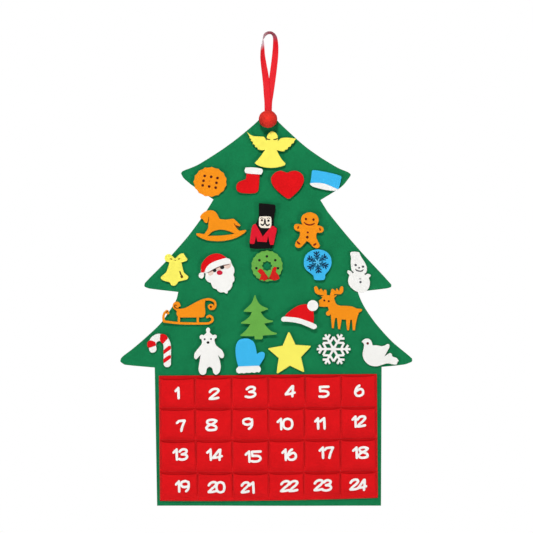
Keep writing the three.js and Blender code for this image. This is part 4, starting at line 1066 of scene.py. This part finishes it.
# Gingerbread man
# Orange felt with a printed face, buttons, and rust-coloured dashes at wrists and ankles.
red_brown = printed("red_brown_print", (128, 28, 4))
gingerbread = Ornament("gingerbread", orange_felt, 0.6445, 0.695, 0.074, 0.098)
gingerbread.marks("gingerbread_face", brown_print_and_painted_shade, dot(0.412, 0.78, 0.037, 0.04),
                  dot(0.658, 0.765, 0.037, 0.04), dot(0.458, 0.336, 0.044))
gingerbread.marks(
    "gingerbread_trim", red_brown,
    stroke(0.0032, (0.355, 0.705), (0.42, 0.658), (0.53, 0.636), (0.63, 0.65), (0.70, 0.68)),
    dot(0.47, 0.453, 0.036, 0.03),
    stroke(0.0030, (0.18, 0.61), (0.145, 0.54)),
    stroke(0.0032, (0.85, 0.565), (0.887, 0.495)),
    stroke(0.0042, (0.125, 0.235), (0.175, 0.19), (0.23, 0.165)),
    stroke(0.0042, (0.645, 0.14), (0.70, 0.155), (0.75, 0.185)))

# Bell
# Yellow felt: a bell and its clapper under a bow. The folds of the bow and the edge of the
# clapper are printed brown.
olive_print = printed("olive_print", (178, 150, 44))
clapper_print = printed("clapper_print", (92, 68, 16))
bell = Ornament("bell", yellow_felt, 0.1885, 0.598, 0.07, 0.082)
bell.marks("bell_folds", olive_print,
           stroke(0.0034, (0.315, 0.805), (0.35, 0.792), (0.385, 0.77)),
           stroke(0.0030, (0.585, 0.785), (0.62, 0.795), (0.665, 0.808)),
           stroke(0.0018, (0.47, 0.745), (0.495, 0.752), (0.52, 0.745)))
bell.marks("bell_clapper_edge", clapper_print,
           stroke(0.0032, (0.648, 0.44), (0.672, 0.37), (0.71, 0.29)),
           dot(0.718, 0.275, 0.046, 0.05))

# Santa
# White felt cut as a head with its beard. A red cap, its white trim and a strip of face are
# glued on, and the eyes and the nose are printed. A grey-brown line along the lower edge of the
# trim is painted shade.
skin_felt = felt_finish("skin_felt", (232, 206, 192), 0.10, slot="white_felt")
# Painted shade under the lower edge of Santa's trim, in grey-brown.
brow_painted_shade = printed("brow_painted_shade", (150, 108, 98), slot="white_felt")
nose_print = printed("nose_print", (206, 24, 56), slot="red_felt")
santa = Ornament("santa", white_felt, 0.3325, 0.5864, 0.094, 0.103)
santa.glued("santa_skin", skin_felt, patch(
    (0.25, 0.51), (0.275, 0.465), (0.32, 0.45), (0.37, 0.475), (0.41, 0.53), (0.47, 0.575),
    (0.54, 0.575), (0.60, 0.60), (0.66, 0.64), (0.71, 0.625), (0.77, 0.615), (0.825, 0.645),
    (0.84, 0.70), (0.82, 0.745), (0.7, 0.76), (0.55, 0.73), (0.42, 0.68), (0.30, 0.62),
    (0.235, 0.55)), thickness=0.0006)
santa.glued("santa_cap", red_felt, patch(
    (0.085, 0.525), (0.085, 0.69), (0.15, 0.80), (0.26, 0.90), (0.39, 0.955), (0.50, 0.965),
    (0.60, 0.945), (0.68, 0.90), (0.74, 0.855), (0.6, 0.83), (0.40, 0.765), (0.30, 0.71),
    (0.21, 0.62), (0.16, 0.53)))
santa.glued("santa_trim", white_felt, patch(
    (0.178, 0.566), (0.218, 0.64), (0.31, 0.727), (0.406, 0.773), (0.50, 0.806),
    (0.607, 0.837), (0.70, 0.86), (0.78, 0.85), (0.835, 0.81), (0.845, 0.765), (0.81, 0.728),
    (0.675, 0.705), (0.58, 0.68), (0.473, 0.64), (0.38, 0.597), (0.298, 0.554), (0.25, 0.525),
    (0.20, 0.53)), above=0.0011)
# Painted shade: a grey-brown line under the lower edge of the trim, over the eyes.
santa.marks("santa_brow_painted_shade", brow_painted_shade, stroke(
    0.0027, (0.245, 0.515), (0.32, 0.548), (0.40, 0.592), (0.48, 0.63), (0.58, 0.668),
    (0.68, 0.692), (0.80, 0.715)), above=0.0006)
santa.marks("santa_eyes", ink, dot(0.427, 0.574, 0.047, 0.045), dot(0.62, 0.648, 0.054, 0.050),
            above=0.0007)
santa.glued("santa_nose", nose_print, dot(0.555, 0.52, 0.075, 0.058), thickness=0.0006, corner=60)

# Wreath
# A scalloped ring of leaf-green felt with a toothed hole, five dark berries and a red bow,
# which were laid out on a box of their own.
bow_felt = felt_finish("bow_felt", (206, 32, 27), 0.08, slot="red_felt")
knot_felt = felt_finish("knot_felt", (156, 34, 24), 0.06, slot="red_felt")
wreath = Ornament("wreath", leaf_felt, 0.5022, 0.6056, 0.076, 0.075, corner=50)


def on_wreath(*places):
    return [(0.5 + (across - 0.503) * 0.0816 / 0.076, 0.5 + (up - 0.49) * 0.0888 / 0.075)
            for across, up in places]


wreath.marks("wreath_berries", ink, *[dot(*place, 0.039) for place in on_wreath(
    (0.28, 0.645), (0.50, 0.75), (0.745, 0.645), (0.19, 0.43), (0.825, 0.43))])
wreath.glued("wreath_bow", bow_felt, patch(*on_wreath(
    (0.22, 0.35), (0.30, 0.42), (0.38, 0.38), (0.46, 0.28), (0.53, 0.20), (0.50, 0.12),
    (0.42, 0.09), (0.36, 0.12), (0.28, 0.11), (0.33, 0.25))), patch(*on_wreath(
        (0.67, 0.42), (0.72, 0.47), (0.79, 0.45), (0.76, 0.33), (0.84, 0.24), (0.87, 0.15),
        (0.74, 0.10), (0.60, 0.13), (0.57, 0.19), (0.62, 0.28))))
wreath.glued("wreath_knot", knot_felt, stroke(
    0.0032, *on_wreath((0.50, 0.165), (0.56, 0.155), (0.62, 0.17)), taper=0.8),
    thickness=0.0008, above=0.0011)

# Bauble
# A round blue bauble with its cap below. Its snow crystal of six arms is cut through the felt,
# and is printed here in dark blue as painted shade of the tree behind the cuts, with pale rays
# between the arms.
# Painted shade: the dark of the cut-through crystal, in one tone for its tips and one for its
# stems.
crystal_painted_shade = printed("crystal_painted_shade", (6, 52, 84))
stem_painted_shade = printed("crystal_stem_painted_shade", (14, 90, 124))
crystal_light = printed("crystal_light_ink", (112, 206, 242), slot="blue_felt")
bauble = Ornament("bauble", blue_felt, 0.6753, 0.6066, 0.074, 0.089)


def crystal_at(spoke, share, aside=0.0):
    """A place beside an arm of the crystal, by its share of the arm and a turn."""
    angle = math.radians(36 + 60 * spoke) + aside
    return (0.5 + math.cos(angle) * share * 0.36,
            0.588 + math.sin(angle) * share * 0.355 * 0.074 / 0.089)


tips, stems, rays = [], [], []
for arm in range(6):
    stems.append(stroke(0.0029, crystal_at(arm, 0.16), crystal_at(arm, 0.62), taper=0.8))
    tips.append(stroke(0.0032, crystal_at(arm, 0.58), crystal_at(arm, 1.0), taper=0.8))
    for side in (-1, 1):
        for marks, width, start, end, aside in (
                (stems, 0.0025, 0.26, 0.52, 0.42), (tips, 0.0026, 0.46, 0.78, 0.36),
                (tips, 0.0027, 0.70, 1.0, 0.25)):
            foot, tip = crystal_at(arm, start), crystal_at(arm, end, side * aside)
            marks.append(stroke(width, foot, tip, taper=0.8))
    between = [crystal_at(arm, share, math.pi / 6) for share in (0.06, 0.34)]
    rays.append(stroke(0.0017, *between, taper=0.6))
bauble.marks("bauble_crystal_stems", stem_painted_shade, *stems)
bauble.marks("bauble_crystal", crystal_painted_shade, *tips)
bauble.marks("bauble_crystal_rays", crystal_light, *rays)

# Snowman
# White felt with a printed grey face and two buttons. Short dark strokes where the arms meet
# the body are painted shadow in the notches.
grey_print = printed("grey_print", (88, 88, 92))
smile_print = printed("smile_print", (92, 92, 94))
# Painted shadow in the notches between the snowman's arms and body.
arm_notch_painted_shadow = printed("arm_notch_painted_shadow", (44, 62, 54))
pale_print = printed("pale_print", (176, 176, 176), slot="white_felt")
snowman = Ornament("snowman", white_felt, 0.821, 0.5927, 0.067, 0.101)
snowman.marks("snowman_face", grey_print, dot(0.34, 0.642, 0.044, 0.041),
              dot(0.603, 0.604, 0.044, 0.041), dot(0.515, 0.238, 0.042))
snowman.marks("snowman_smile", smile_print, dot(0.463, 0.578, 0.036, 0.032), stroke(
    0.0031, (0.33, 0.55), (0.385, 0.515), (0.497, 0.497), (0.575, 0.508), (0.62, 0.538)))
snowman.marks("snowman_arm_painted_shadows", arm_notch_painted_shadow,
              stroke(0.0030, (0.20, 0.50), (0.235, 0.47), (0.265, 0.465), taper=0.7),
              stroke(0.0034, (0.665, 0.425), (0.70, 0.43), (0.74, 0.455), taper=0.7))
snowman.marks("snowman_button", pale_print, dot(0.505, 0.318, 0.036, 0.03))

# Sleigh
# Orange felt, cut in one with its curled front, its scrolls and its runner. Discs of the same
# felt fill the holes of the scrolls, and the dark of the holes and of the gaps of the curls is
# printed on them as painted shade.
sleigh = Ornament("sleigh", orange_felt, 0.2365, 0.4917, 0.137, 0.072, corner=50, spread=0.0003)
scroll_eyes = [dot(0.876, 0.642, 0.052), dot(0.275, 0.66, 0.04), dot(0.105, 0.475, 0.034)]
sleigh.layer("sleigh_scroll_eyes", orange_felt, [[eye(sleigh)] for eye in scroll_eyes],
             ornament_felt, 0.0001 - ornament_felt, corner=58, edge=0.0005)
# Painted shade: the dark of the scroll holes and of the gaps of the curls.
sleigh.marks("sleigh_scroll_painted_shade", brown_print_and_painted_shade, dot(0.876, 0.642, 0.019), stroke(
    0.0020, (0.285, 0.69), (0.25, 0.70), (0.24, 0.655), (0.262, 0.605), (0.30, 0.585)),
    stroke(0.0020, (0.09, 0.44), (0.10, 0.475), (0.125, 0.50)), above=0.0001)

# Fir
# One plain cut of leaf-green felt in three tiers.
Ornament("fir", leaf_felt, 0.4748, 0.4765, 0.082, 0.11, corner=38)

# Santa hat
# Red felt with a curved white brim and a round white pom, both glued on.
santa_hat = Ornament("santa_hat", red_felt, 0.6136, 0.4866, 0.089, 0.072)
santa_hat.second_felt("santa_hat_brim")
santa_hat.second_felt("santa_hat_pom")

# Reindeer
# Orange felt with branched antlers and two printed eyes.
reindeer = Ornament("reindeer", orange_felt, 0.7422, 0.498, 0.13, 0.118)
reindeer.marks("reindeer_eyes", brown_print_and_painted_shade, dot(0.265, 0.665, 0.018), dot(0.345, 0.65, 0.018))

# Candy cane
# A bent white bar with four red bands glued across it.
cane = Ornament("candy_cane", white_felt, 0.1354, 0.3919, 0.072, 0.094, corner=60)
cane.glued(
    "candy_cane_bands", red_felt,
    patch((0.085, 0.70), (0.13, 0.752), (0.20, 0.758), (0.32, 0.73), (0.365, 0.68),
          (0.365, 0.635), (0.25, 0.60), (0.14, 0.572), (0.085, 0.61)),
    patch((0.52, 0.925), (0.505, 0.84), (0.50, 0.76), (0.535, 0.72), (0.585, 0.68),
          (0.62, 0.69), (0.69, 0.755), (0.76, 0.805), (0.74, 0.862), (0.68, 0.905),
          (0.61, 0.922)),
    patch((0.625, 0.41), (0.615, 0.505), (0.70, 0.562), (0.79, 0.62), (0.86, 0.62),
          (0.862, 0.545), (0.74, 0.475)),
    patch((0.625, 0.18), (0.615, 0.282), (0.70, 0.33), (0.80, 0.382), (0.862, 0.378),
          (0.862, 0.31), (0.75, 0.245)), thickness=0.0008)

# Polar bear
# White felt, standing upright, with printed eyes and nose.
bear = Ornament("polar_bear", white_felt, 0.3051, 0.3919, 0.084, 0.122)
bear.marks("polar_bear_face", ink, dot(0.46, 0.66, 0.041, 0.035))
bear.marks("polar_bear_eyes", grey_print, dot(0.365, 0.725, 0.026), dot(0.545, 0.73, 0.026))

# Mitten
# A blue mitten with a fluffy white cuff, cut in scallops along its lower edge.
mitten = Ornament("mitten", blue_felt, 0.4439, 0.3792, 0.082, 0.094)
mitten.second_felt("mitten_cuff")

# Star, snowflake and dove
# A yellow five-pointed star, a white snowflake cut as bars, and a white dove with one
# printed eye.
dove_ink = printed("dove_ink", (110, 34, 34))
Ornament("star", yellow_felt, 0.5794, 0.3866, 0.102, 0.099, corner=38)
Ornament("snowflake", white_felt, 0.7302, 0.3957, 0.082, 0.078, corner=30, spread=0.0004,
         stretch=(1.03, 1.09))
dove = Ornament("dove", white_felt, 0.8896, 0.3868, 0.096, 0.074)
dove.marks("dove_eye", dove_ink, dot(0.19, 0.80, 0.031))
